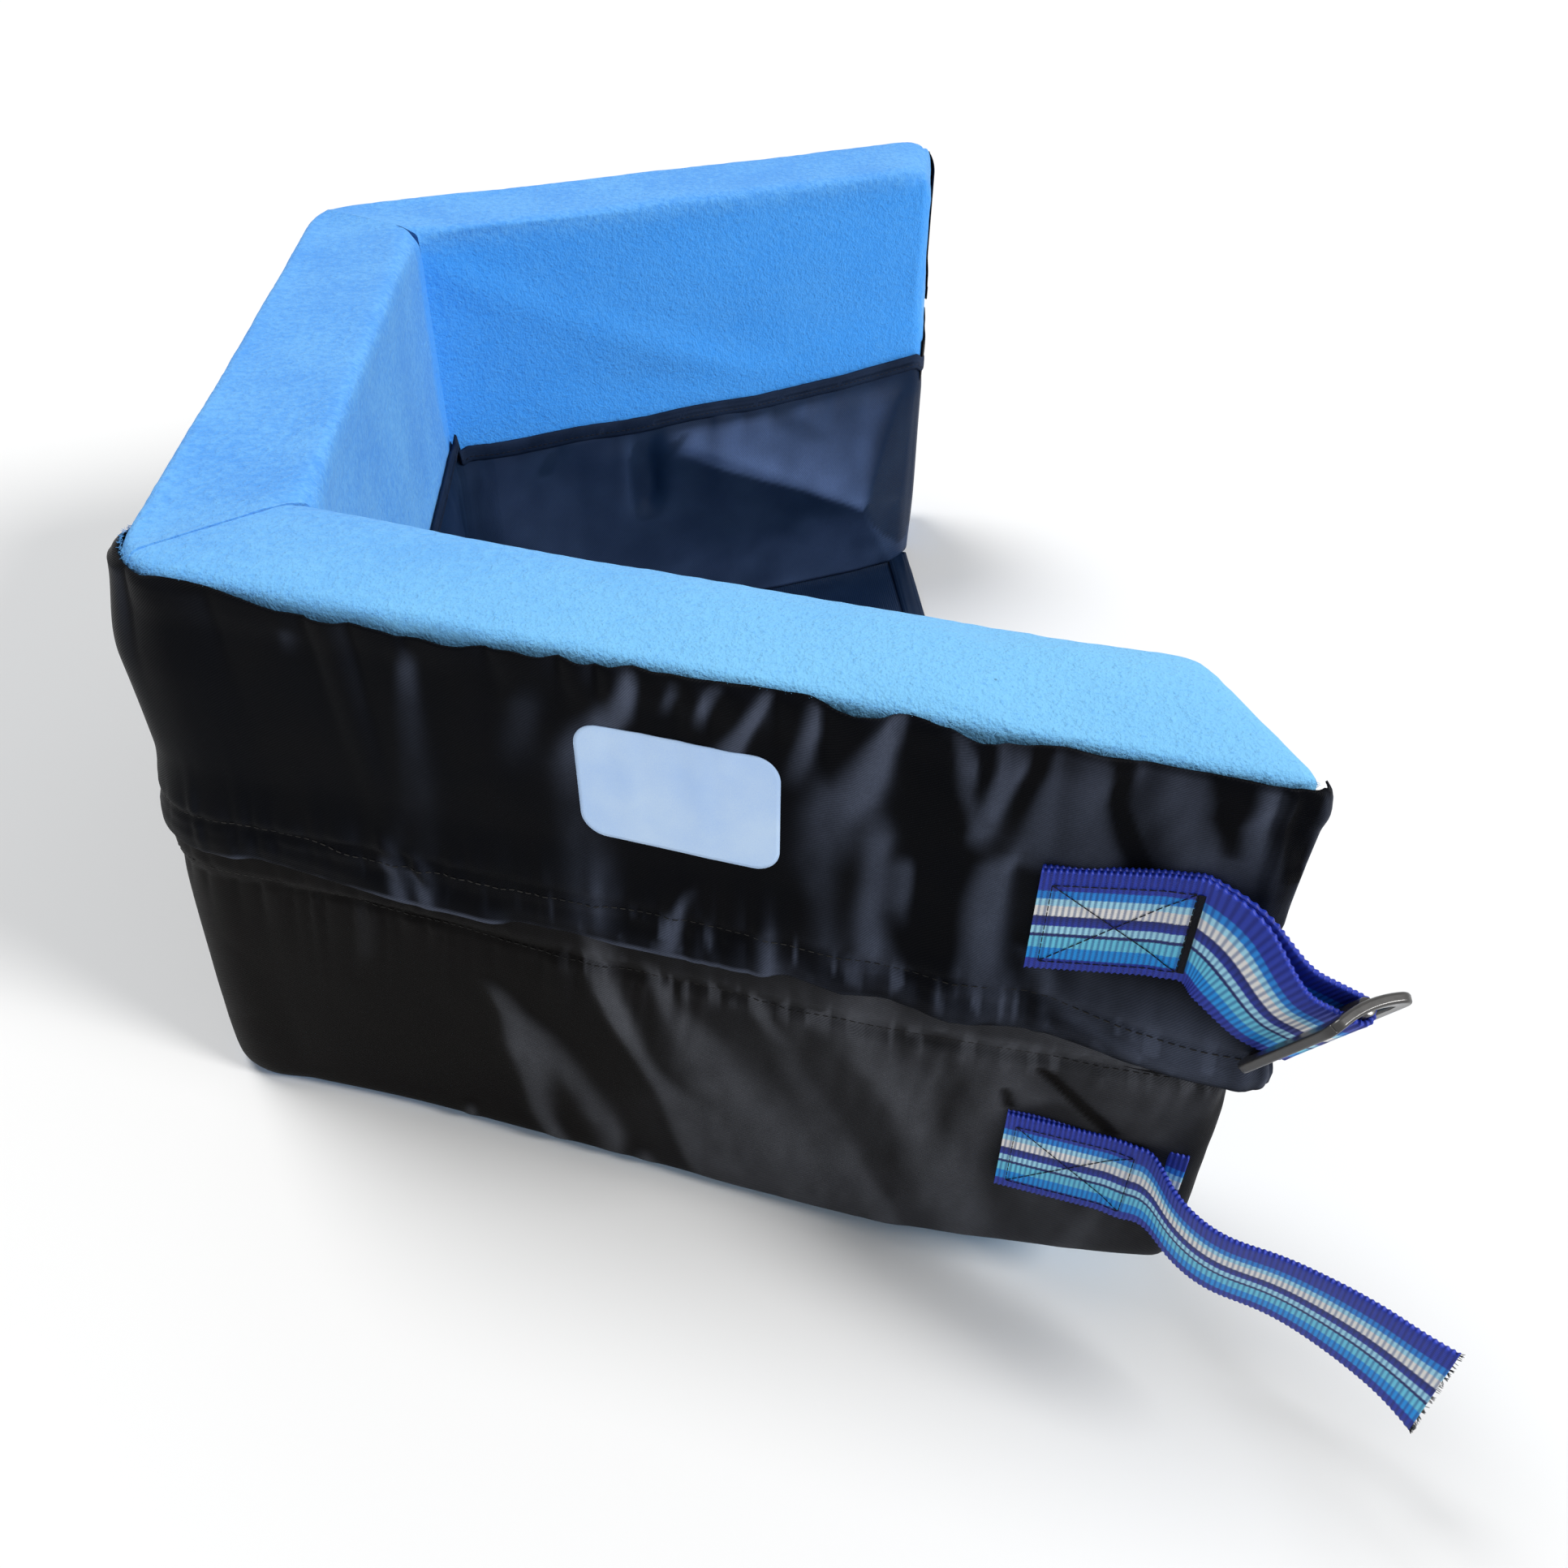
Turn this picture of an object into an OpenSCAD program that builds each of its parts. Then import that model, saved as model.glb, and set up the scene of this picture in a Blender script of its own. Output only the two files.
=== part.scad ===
// Three-sided padded surround: two foam legs splay from a foam middle panel.
// The cover is fleece on top, inside and underneath, with a two-part nylon shell
// outside whose upper half laps over the lower as a hook-and-loop closure.
// The lower half is lined and floored with nylon. Each leg carries a short strap
// that ends in a slider and a longer free strap. Millimetres, +Z up, +X to the
// open side, +Y along the middle panel, Z = 0 on the resting surface.

/* [Panels] */
// Outer length of each leg, from the outer corner to its end
leg_length = 350; // [320:5:400]
// Outer length of the middle panel, corner to corner
middle_length = 335; // [300:5:400]
// Inside angle between a leg and the middle panel
corner_angle = 111; // [100:1:125]
// Thickness of the whole wall, from the flap's face to the fleece inside
wall = 57; // [50:1:70]
// Overall height
height = 236; // [225:1:260]
// Lean of the leg ends away from square to the middle panel's axis
end_lean = 8.7; // [0:0.1:15]
// Radius of the two outer vertical corners
corner_radius = 30; // [15:1:45]
// How far the underside rises at the leg ends
toe_rise = 27; // [8:1:32]
// Length over which the underside rises
toe_length = 150; // [100:5:180]
// Distance from the middle panel's outer face to the part's origin
origin_depth = 170; // [150:1:200]

/* [Cover] */
// Thickness of the fleece with its backing
fleece = 3.2; // [2:0.1:4]
// Thickness of one layer of shell nylon
nylon = 1.0; // [0.6:0.1:1.4]
// Height of the upper shell's free edge
flap_edge = 130; // [118:1:140]
// Width of the closure tapes
tape_width = 20; // [16:1:24]
// Thickness of each closure tape
tape = 0.9; // [0.7:0.1:1.2]
// Height of the folded hem along the flap's edge
flap_hem = 9; // [6:0.5:12]
// Distance the lower shell stops short of the leg ends
lower_setback = 4; // [2:0.5:8]
// Distance from the top down to the seam of fleece and nylon
top_seam = 1.5; // [1:0.5:4]
// Height that the lower shell runs up behind the flap
shell_tuck = 12; // [8:1:16]
// Height over which the flap steps in above the lower shell
flap_ease = 3; // [2:0.5:5]
// Distance from the lower shell's top edge down to the closure tapes
tape_margin = 1; // [0.5:0.5:3]
// Distance the hook tape stops short of the leg ends
tape_setback = 2; // [1:0.5:4]
// Gap between the flap's free edge and the top of an end facing
facing_gap = 2; // [1:0.5:4]
// Height of the shell's lower edge over the resting surface
shell_base = 1; // [0.5:0.1:2]
// Height of the liner's lower edge over the resting surface
liner_base = 0.2; // [0.1:0.1:0.5]

/* [Lining] */
// Height of the liner's bound edge
liner_height = 131; // [115:1:150]
// Thickness of the liner
liner = 0.8; // [0.5:0.1:1.2]
// Visible height of the binding
binding_width = 8.5; // [6:0.5:12]
// Thickness of the binding where it lies over the liner
binding = 1.0; // [0.8:0.1:1.5]
// Thickness of the nylon floor
floor_cloth = 1.0; // [0.8:0.1:1.4]
// Width of the hem along the floor's free edge
floor_hem_width = 12; // [8:1:20]
// Thickness of that hem
floor_hem_height = 2.2; // [1.6:0.1:3]

/* [Reflective patch] */
// Width of the patch
patch_width = 62; // [40:1:70]
// Height of the patch
patch_height = 42; // [30:1:50]
// Distance along the leg to the middle of the patch
patch_along = 180; // [150:1:210]
// Distance from the top down to the middle of the patch
patch_drop = 46; // [41:1:56]
// Corner radius of the patch
patch_radius = 8; // [4:1:12]
// Thickness of the patch
patch = 0.4; // [0.3:0.1:0.6]

/* [Webbing] */
// Width of the webbing
webbing_width = 38; // [30:1:40]
// Thickness of the webbing
webbing = 1.6; // [1.2:0.1:2]
// Length of the sewn part of the upper strap
upper_sewn = 41; // [30:1:50]
// Distance from the leg's end to the upper bar tack
upper_setback = 25; // [20:1:40]
// Distance from the top down to the middle of the upper strap at the bar tack
upper_drop = 52.5; // [46:0.5:60]
// Rise of the upper strap along its sewn part
upper_climb = 9; // [0:1:12]
// Length of the upper strap from the bar tack to the slider's middle bar
bight = 40; // [36:1:50]
// Downward slope of the upper strap past the bar tack
droop = 20; // [0:1:25]
// Outward lean of the upper strap's top edge at the slider
strap_lean = 20; // [0:1:22]
// Distance that the middle bar stands out from the bar tack
bight_stand = 9.7; // [9:0.1:14]
// Share of that length over which the two layers part
spread_share = 0.75; // [0.7:0.05:0.9]
// Share over which the strap leans outward
lean_share = 0.7; // [0.6:0.05:0.9]
// Share over which the strap turns to its slope
skew_share = 0.35; // [0.3:0.05:0.5]
// Length of the sewn part of the lower strap
lower_sewn = 42.5; // [30:0.5:50]
// Distance from the leg's end to the end of the lower strap's sewn part
lower_setback_strap = 20; // [16:1:40]
// Length of the lower strap's loose under layer past its stitching
under_tab = 14; // [8:1:15]
// Height of the lower strap's middle
lower_level = 69.5; // [65:0.5:90]
// Length of each bend of the free strap, from its stitches to its tip
tail_bends = [10, 33, 57]; // [5:1:80]
// Turn of each bend, outward where positive
tail_turns = [52, -43, 26]; // [-60:1:60]
// Gap between pieces that move on each other
clearance = 0.3; // [0.2:0.05:0.4]

/* [Slider] */
// Length of the slider across its three bars
slider_length = 28.5; // [27:0.5:32]
// Thickness of the slider's frame
slider_frame = 3; // [2.5:0.1:3.4]
// Width of each outer bar
slider_bar = 4.5; // [3.5:0.1:5]
// Diameter of the middle bar
slider_pin = 5; // [4:0.1:5.4]
// Width of each side rail
slider_rail = 3.7; // [3:0.1:5]
// Side gap between the webbing and a rail
slider_side_gap = 0.8; // [0.5:0.1:1.2]
// Radius of the slider's corners
slider_corner = 5; // [3:0.5:6]
// Radius of the slider's bow
slider_bow = 40; // [30:1:60]
// Tilt of the slider at rest, from flat on the strap
slider_tilt = 45; // [40:1:60]

/* [Rest pose of the rear straps] */
// Outward swing of the rear upper strap
rear_upper_swing = 95; // [0:1:100]
// Outward swing of the rear lower strap
rear_lower_swing = 100; // [0:1:110]

/* [Hidden] */
$fn = 48;

// Layers of the wall, each as a distance inward from the flap's face
hook_face = nylon;
loop_face = hook_face + tape;
shell_face = loop_face + tape;
foam_face = shell_face + nylon;
fleece_face = wall - fleece;
liner_face = wall + liner;
binding_face = liner_face + binding;

// Levels of the closure: the flap steps in above the tapes
lower_shell_top = flap_edge + shell_tuck;
flap_step = lower_shell_top + flap_ease;
shell_top = height - top_seam;
tape_top = lower_shell_top - tape_margin;

// Directions of the front leg in plan
along = [sin(corner_angle), cos(corner_angle)];
leg_heading = 90 - corner_angle;
end_normal = [cos(end_lean), sin(end_lean)];
arc_steps = 10;

// Reach of the cutting shapes past what they cut
margin = 20;

// Straps: places in the leg's own frame, x along it and y into the wall
upper_tack = leg_length - upper_setback;
upper_level = height - upper_drop;
lower_tack = leg_length - lower_setback_strap;
strap_back = shell_face;
strap_front = strap_back - 2 * webbing;
strap_hinge = strap_front - clearance;
bight_turn = slider_pin / 2 + clearance + webbing / 2;
slider_width = webbing_width + 2 * (slider_side_gap + slider_rail);
bight_start = -0.2;
tail_stand = 0.9;

// Corner of the wall, a distance in from the outer face
function corner(inward) =
    [inward - origin_depth, inward / tan(corner_angle / 2) - middle_length / 2];

// End of the front leg on the line that lies that far inward
function leg_end(inward, inset = 0) =
    let (span = corner(0) + along * leg_length - corner(inward))
    corner(inward) + along * ((span * end_normal - inset) / (along * end_normal));

// Front corner as an arc, from the leg (0) to the middle panel (1)
function corner_arc(inward, from, to) =
    let (steps = round(arc_steps * abs(to - from)))
    inward >= corner_radius ? [corner(inward)] :
    [for (i = [0:steps])
        let (share = from + (to - from) * i / steps)
        let (a = 360 - corner_angle - (180 - corner_angle) * share)
        corner(corner_radius) + (corner_radius - inward) * [cos(a), sin(a)]];

function reversed(list) = [for (i = [len(list) - 1:-1:0]) list[i]];
function mirrored(list) = [for (p = reversed(list)) [p[0], -p[1]]];
function ease(x) = let (c = min(max(x, 0), 1)) c * c * (3 - 2 * c);

function leg_outline(outer, inner) = concat(
    [leg_end(outer)], corner_arc(outer, 0, 0.5),
    corner_arc(inner, 0.5, 0), [leg_end(inner)]);

function middle_outline(outer, inner) =
    let (outside = corner_arc(outer, 0.5, 1), inside = corner_arc(inner, 1, 0.5))
    concat(outside, mirrored(outside), mirrored(inside), inside);

function band_outline(outer, inner, inset = 0) =
    let (outside = concat([leg_end(outer, inset)], corner_arc(outer, 0, 1)))
    let (inside = concat(corner_arc(inner, 1, 0), [leg_end(inner, inset)]))
    concat(outside, mirrored(outside), mirrored(inside), inside);

// A slice of the band that runs round all three panels
module band(outer, inner, low, high, inset = 0) {
    translate([0, 0, low])
        linear_extrude(high - low)
            polygon(band_outline(outer, inner, inset));
}

// Puts a child drawn in the leg's own frame on the front or the rear leg
module on_front_leg() {
    translate([-origin_depth, -middle_length / 2, 0])
        rotate([0, 0, leg_heading])
            children();
}

module on_rear_leg() {
    mirror([0, 1, 0])
        on_front_leg()
            children();
}

// A flat piece drawn as length and height, standing out from a face of the leg
module on_face(inward, thick) {
    translate([0, inward, 0])
        rotate([90, 0, 0])
            linear_extrude(thick)
                children();
}

// The space under a raised leg end
module toe_space(level) {
    radius = (toe_length * toe_length + toe_rise * toe_rise) / (2 * toe_rise);
    start = leg_length - toe_length;
    reach = toe_length + margin / 2;
    arc = [for (i = [0:arc_steps])
        let (x = reach * i / arc_steps)
        [start + x, level + radius - sqrt(radius * radius - x * x)]];
    on_face(wall + margin, wall + 2 * margin)
        polygon(concat([[start, -margin]], arc, [[start + reach, -margin]]));
}

module foam_block(outline, low, high) {
    translate([0, 0, low])
        linear_extrude(high - low)
            polygon(outline);
}

module front_leg_core() {
    difference() {
        intersection() {
            foam_block(leg_outline(foam_face, fleece_face), fleece, height - fleece);
            linear_extrude(height)
                polygon([leg_end(foam_face, fleece), corner(foam_face - 2 * margin),
                    corner(wall + 2 * margin), leg_end(fleece_face, fleece)]);
        }
        on_front_leg() toe_space(fleece);
    }
}

module front_leg_cover() {
    difference() {
        foam_block(leg_outline(foam_face, wall), 0, height);
        on_front_leg() toe_space(0);
        front_leg_core();
    }
}

module middle_core() {
    foam_block(middle_outline(foam_face, fleece_face), fleece, height - fleece);
}

module front_foam_core() {
    color("lightgray") front_leg_core();
}

module side_foam_core() {
    color("lightgray") middle_core();
}

module rear_foam_core() {
    color("lightgray") mirror([0, 1, 0]) front_leg_core();
}

module front_fleece_cover() {
    color("skyblue") front_leg_cover();
}

module side_fleece_cover() {
    color("skyblue")
        difference() {
            foam_block(middle_outline(foam_face, wall), 0, height);
            middle_core();
        }
}

module rear_fleece_cover() {
    color("skyblue") mirror([0, 1, 0]) front_leg_cover();
}

// Upper shell: flat on the foam above, stepping out over the closure below
module upper_shell() {
    color([0.10, 0.10, 0.11])
        union() {
            band(shell_face, foam_face, flap_step, shell_top);
            band(0, foam_face, lower_shell_top, flap_step);
            band(0, nylon, flap_edge, lower_shell_top);
            band(-nylon, 0, flap_edge, flap_edge + flap_hem);
        }
}

module lower_shell() {
    color([0.12, 0.12, 0.13])
        difference() {
            band(shell_face, foam_face, shell_base, lower_shell_top, lower_setback);
            on_front_leg() toe_space(shell_base);
            on_rear_leg() toe_space(shell_base);
        }
}

module closure_hook_tape() {
    color([0.05, 0.05, 0.06])
        band(hook_face, loop_face, flap_edge, tape_top, tape_setback);
}

module closure_loop_tape() {
    color([0.07, 0.07, 0.08])
        band(loop_face, shell_face, tape_top - tape_width, tape_top, lower_setback);
}

// Nylon facing on the lower half of a leg's end
module end_facing() {
    difference() {
        foam_block([leg_end(foam_face), leg_end(wall), leg_end(wall, -nylon),
            leg_end(foam_face, -nylon)], shell_base, flap_edge - facing_gap);
        on_front_leg() toe_space(shell_base);
    }
}

module front_end_facing() {
    color([0.09, 0.09, 0.10]) end_facing();
}

module rear_end_facing() {
    color([0.09, 0.09, 0.10]) mirror([0, 1, 0]) end_facing();
}

module inner_liner() {
    color([0.10, 0.13, 0.20]) band(wall, liner_face, liner_base, liner_height - binding);
}

module liner_binding() {
    color([0.04, 0.05, 0.09])
        union() {
            band(liner_face, binding_face, liner_height - binding_width, liner_height);
            band(wall, liner_face, liner_height - binding, liner_height);
        }
}

// Plan of the floor between the liner's faces
module floor_plan() {
    front = [leg_end(liner_face), corner(liner_face)];
    polygon(concat(front, mirrored(front)));
}

module floor_edge_zone() {
    edge = leg_end(liner_face)[0] - floor_hem_width;
    translate([edge, -middle_length * 2])
        square([floor_hem_width * 2, middle_length * 4]);
}

module floor_panel() {
    color([0.09, 0.11, 0.17])
        linear_extrude(floor_cloth)
            difference() {
                floor_plan();
                floor_edge_zone();
            }
}

module floor_hem() {
    color([0.05, 0.06, 0.10])
        linear_extrude(floor_hem_height)
            intersection() {
                floor_plan();
                floor_edge_zone();
            }
}

module rounded_sheet(wide, high, radius) {
    square([wide - 2 * radius, high], center = true);
    square([wide, high - 2 * radius], center = true);
    for (x = [-1, 1])
        for (y = [-1, 1])
            translate([x * (wide / 2 - radius), y * (high / 2 - radius)])
                circle(radius);
}

module reflective_patch() {
    color("silver")
        on_front_leg()
            on_face(shell_face, patch)
                translate([patch_along, height - patch_drop])
                    rounded_sheet(patch_width, patch_height, patch_radius);
}

// Sewn end of the upper strap: two layers under a box of stitches
module upper_strap_base() {
    half = webbing_width / 2;
    left = upper_tack - upper_sewn;
    on_face(strap_back, 2 * webbing)
        polygon([[left, upper_level - upper_climb - half],
            [upper_tack, upper_level - half],
            [upper_tack, upper_level + half],
            [left, upper_level - upper_climb + half]]);
}

// Sewn end of the lower strap, with its loose under layer past the stitches
module lower_strap_base() {
    left = lower_tack - lower_sewn;
    bottom = lower_level - webbing_width / 2;
    union() {
        on_face(strap_back, webbing)
            translate([left, bottom])
                square([lower_sewn + under_tab, webbing_width]);
        on_face(strap_back - webbing, webbing)
            translate([left, bottom])
                square([lower_sewn, webbing_width]);
    }
}

// The bight in its own frame: u along the strap, v out from the leg
function mix(a, b, share) = a + (b - a) * share;
function stand(u) = mix(bight_start, bight_stand, ease(u / bight / spread_share));
function spread(u) = mix(webbing / 2, bight_turn, ease(u / bight / spread_share));
function lean(u) = strap_lean * ease(u / bight / lean_share);
function skew(u) = droop * ease(u / bight / skew_share);

// A point of the bight in the leg's frame; w runs across the webbing
function bight_point(u, v, w) =
    let (out = v * cos(lean(u)) + w * sin(lean(u)))
    let (up = w * cos(lean(u)) - v * sin(lean(u)))
    [upper_tack + clearance + u * cos(droop) + up * sin(skew(u)),
        -out,
        upper_level - u * sin(droop) + up * cos(skew(u))];

layer_steps = 8;
turn_steps = 8;
bight_path = concat(
    [for (i = [0:layer_steps - 1])
        let (u = bight * i / layer_steps) [u, stand(u) + spread(u)]],
    [for (i = [0:turn_steps])
        let (a = 90 - 180 * i / turn_steps)
        [bight + bight_turn * cos(a), bight_stand + bight_turn * sin(a)]],
    [for (i = [layer_steps - 1:-1:0])
        let (u = bight * i / layer_steps) [u, stand(u) - spread(u)]]);

// Unit normal of a path of points in a plane
function path_normal(path, i) =
    let (d = path[min(i + 1, len(path) - 1)] - path[max(i - 1, 0)])
    [-d[1], d[0]] / norm(d);

// A closed solid through stations of four corners each
module ribbon(stations) {
    last = len(stations) - 1;
    points = [for (s = stations) for (p = s) p];
    sides = [for (i = [0:last - 1]) for (k = [0:3])
        let (a = 4 * i + k, b = 4 * i + (k + 1) % 4)
        each [[a, b + 4, b], [a, a + 4, b + 4]]];
    caps = [[0, 1, 2, 3], [for (k = [3:-1:0]) 4 * last + k]];
    polyhedron(points, concat(sides, caps), convexity = 6);
}

// Four corners of the webbing at a point of its path; its ends are cut square to the leg
function bight_station(i) =
    let (n = path_normal(bight_path, i) * webbing / 2, half = webbing_width / 2)
    let (face = i == 0 || i == len(bight_path) - 1 ? [0, n[1]] : n)
    let (under = bight_path[i] - face, over = bight_path[i] + face)
    [bight_point(under[0], under[1], -half), bight_point(under[0], under[1], half),
        bight_point(over[0], over[1], half), bight_point(over[0], over[1], -half)];

module upper_strap_bight() {
    ribbon([for (i = [0:len(bight_path) - 1]) bight_station(i)]);
}

// Three-bar slider: bowed frame, two slots and a round middle bar
module slider_body() {
    window = slider_length - 2 * slider_bar;
    window_width = webbing_width + 2 * slider_side_gap;
    union() {
        difference() {
            intersection() {
                on_face(slider_length, 2 * slider_length)
                    rounded_sheet(slider_length, slider_width, slider_corner);
                translate([0, -slider_bow, 0])
                    difference() {
                        cylinder(h = slider_width, r = slider_bow + slider_frame / 2,
                            center = true, $fn = 96);
                        cylinder(h = slider_width + margin, r = slider_bow - slider_frame / 2,
                            center = true, $fn = 96);
                    }
            }
            on_face(slider_length, 2 * slider_length)
                square([window, window_width], center = true);
        }
        cylinder(h = window_width + slider_rail, d = slider_pin, center = true);
    }
}

module slider_in_place() {
    translate(bight_point(bight, bight_stand, 0))
        rotate([0, droop, 0])
            rotate([strap_lean, 0, 0])
                rotate([0, 0, slider_tilt])
                    slider_body();
}

// The free strap stands on edge and bends like a spring, so its plan is three bends
tail_steps = 25;
tail_ends = [for (i = 0, end = tail_bends[0]; i < len(tail_bends);
    i = i + 1, end = end + (i < len(tail_bends) ? tail_bends[i] : 0)) end];
tail_step = tail_ends[len(tail_ends) - 1] / tail_steps;

// Share of bend i that lies before a length x of strap
function bent(i, x) = min(max((x - tail_ends[i]) / tail_bends[i] + 1, 0), 1);
function heading(x) = -tail_turns * [for (i = [0:len(tail_bends) - 1]) bent(i, x)];
function way(x) = [cos(heading(x)), sin(heading(x))];

// Both faces of the strap at each step, as a closed outline
function tail_outline() =
    let (path = [for (i = 0, p = [0, 0]; i <= tail_steps;
        p = p + tail_step * way((i + 0.5) * tail_step), i = i + 1) p])
    let (face = [for (i = [0:tail_steps]) let (w = way(i * tail_step)) [-w[1], w[0]] * webbing / 2])
    concat(path + face, reversed(path - face));

module lower_strap_tail() {
    translate([lower_tack + clearance, -tail_stand, lower_level - webbing_width / 2])
        linear_extrude(webbing_width)
            polygon(tail_outline());
}

// Turns a child outward about a bar tack, in the leg's frame
module swung(tack, angle) {
    translate([tack, strap_hinge, 0])
        rotate([0, 0, -angle])
            translate([-tack, -strap_hinge, 0])
                children();
}

module front_upper_strap_base() {
    color("royalblue") on_front_leg() upper_strap_base();
}

module front_upper_strap_bight() {
    color("deepskyblue") on_front_leg() upper_strap_bight();
}

module front_slider() {
    color([0.15, 0.14, 0.14]) on_front_leg() slider_in_place();
}

module front_lower_strap_base() {
    color("royalblue") on_front_leg() lower_strap_base();
}

module front_lower_strap_tail() {
    color("deepskyblue") on_front_leg() lower_strap_tail();
}

module rear_upper_strap_base() {
    color("royalblue") on_rear_leg() upper_strap_base();
}

module rear_upper_strap_bight() {
    color("deepskyblue")
        on_rear_leg()
            swung(upper_tack, rear_upper_swing)
                upper_strap_bight();
}

module rear_slider() {
    color([0.15, 0.14, 0.14])
        on_rear_leg()
            swung(upper_tack, rear_upper_swing)
                slider_in_place();
}

module rear_lower_strap_base() {
    color("royalblue") on_rear_leg() lower_strap_base();
}

module rear_lower_strap_tail() {
    color("deepskyblue")
        on_rear_leg()
            swung(lower_tack, rear_lower_swing)
                lower_strap_tail();
}

front_foam_core();
side_foam_core();
rear_foam_core();
front_fleece_cover();
side_fleece_cover();
rear_fleece_cover();
upper_shell();
lower_shell();
closure_hook_tape();
closure_loop_tape();
front_end_facing();
rear_end_facing();
inner_liner();
liner_binding();
floor_panel();
floor_hem();
reflective_patch();
front_upper_strap_base();
front_upper_strap_bight();
front_slider();
front_lower_strap_base();
front_lower_strap_tail();
rear_upper_strap_base();
rear_upper_strap_bight();
rear_slider();
rear_lower_strap_base();
rear_lower_strap_tail();
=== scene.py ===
"""Dresses a three-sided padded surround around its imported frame.

Three fleece-covered foam panels stand round an open side.  A nylon shell in two
parts closes outside with a lap, a nylon lining and floor fill the lower half, and
each leg carries a short strap with a slider and a longer free strap.
Sizes are in millimetres until a mesh is written, which is in metres.
"""

from __future__ import annotations

import logging
import math
from dataclasses import dataclass, field
from enum import Enum
from typing import Any, Callable, Sequence

import bpy
import numpy as np
from mathutils import Matrix, Vector


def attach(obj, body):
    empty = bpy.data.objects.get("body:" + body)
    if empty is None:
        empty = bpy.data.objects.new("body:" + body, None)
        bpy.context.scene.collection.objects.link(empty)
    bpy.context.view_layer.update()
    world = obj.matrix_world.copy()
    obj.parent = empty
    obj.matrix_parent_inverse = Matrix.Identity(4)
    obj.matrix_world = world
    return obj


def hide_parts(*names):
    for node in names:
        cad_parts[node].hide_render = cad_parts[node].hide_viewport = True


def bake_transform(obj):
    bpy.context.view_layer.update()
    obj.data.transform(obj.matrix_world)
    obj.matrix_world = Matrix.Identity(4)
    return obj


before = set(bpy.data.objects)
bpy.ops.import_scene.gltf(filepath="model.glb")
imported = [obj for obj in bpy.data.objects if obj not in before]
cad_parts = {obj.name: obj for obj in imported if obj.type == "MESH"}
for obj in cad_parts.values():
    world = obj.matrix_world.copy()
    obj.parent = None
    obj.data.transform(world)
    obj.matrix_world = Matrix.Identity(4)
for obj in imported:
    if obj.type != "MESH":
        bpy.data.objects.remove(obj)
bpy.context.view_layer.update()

MM = 0.001
LOG = logging.getLogger("padded_surround")
Array = np.ndarray
Piece = bpy.types.Object


def ease(x: Array | float) -> Array | float:
    """Smooth step from 0 to 1 as x goes from 0 to 1."""
    c = np.clip(x, 0.0, 1.0)
    return c * c * (3 - 2 * c)


def mix(a: Array | float, b: Array | float, share: Array | float) -> Array | float:
    """Value between a and b at the given share."""
    return a + (b - a) * share


def hill(x: Array, width: Array | float) -> Array:
    """Bell curve: 1 where x is 0, falling off over the width."""
    return np.exp(-((x / width) ** 2))


def squared(x: Array, power: float) -> Array:
    """Size of x raised to a power, with its sign kept: below 1 it squares a circle."""
    return np.sign(x) * np.abs(x) ** power


class Noise:
    """Smooth repeatable noise on a plane, from -1 to 1."""

    SIZE = 64

    def __init__(self, seed: int) -> None:
        """Fills the lattice from a seed."""
        self.table = np.random.default_rng(seed).uniform(-1, 1, (self.SIZE, self.SIZE))

    def __call__(self, x: Array, y: Array) -> Array:
        """Value at each point, with one lattice cell per unit.

        Args:
            x: first coordinates.
            y: second coordinates.

        Returns:
            One value for each point.
        """
        i, j = np.floor(x).astype(int), np.floor(y).astype(int)
        u, v = ease(x - i), ease(y - j)
        cell = lambda a, b: self.table[(i + a) % self.SIZE, (j + b) % self.SIZE]
        return mix(mix(cell(0, 0), cell(1, 0), u), mix(cell(0, 1), cell(1, 1), u), v)


# ---- the wall


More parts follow.
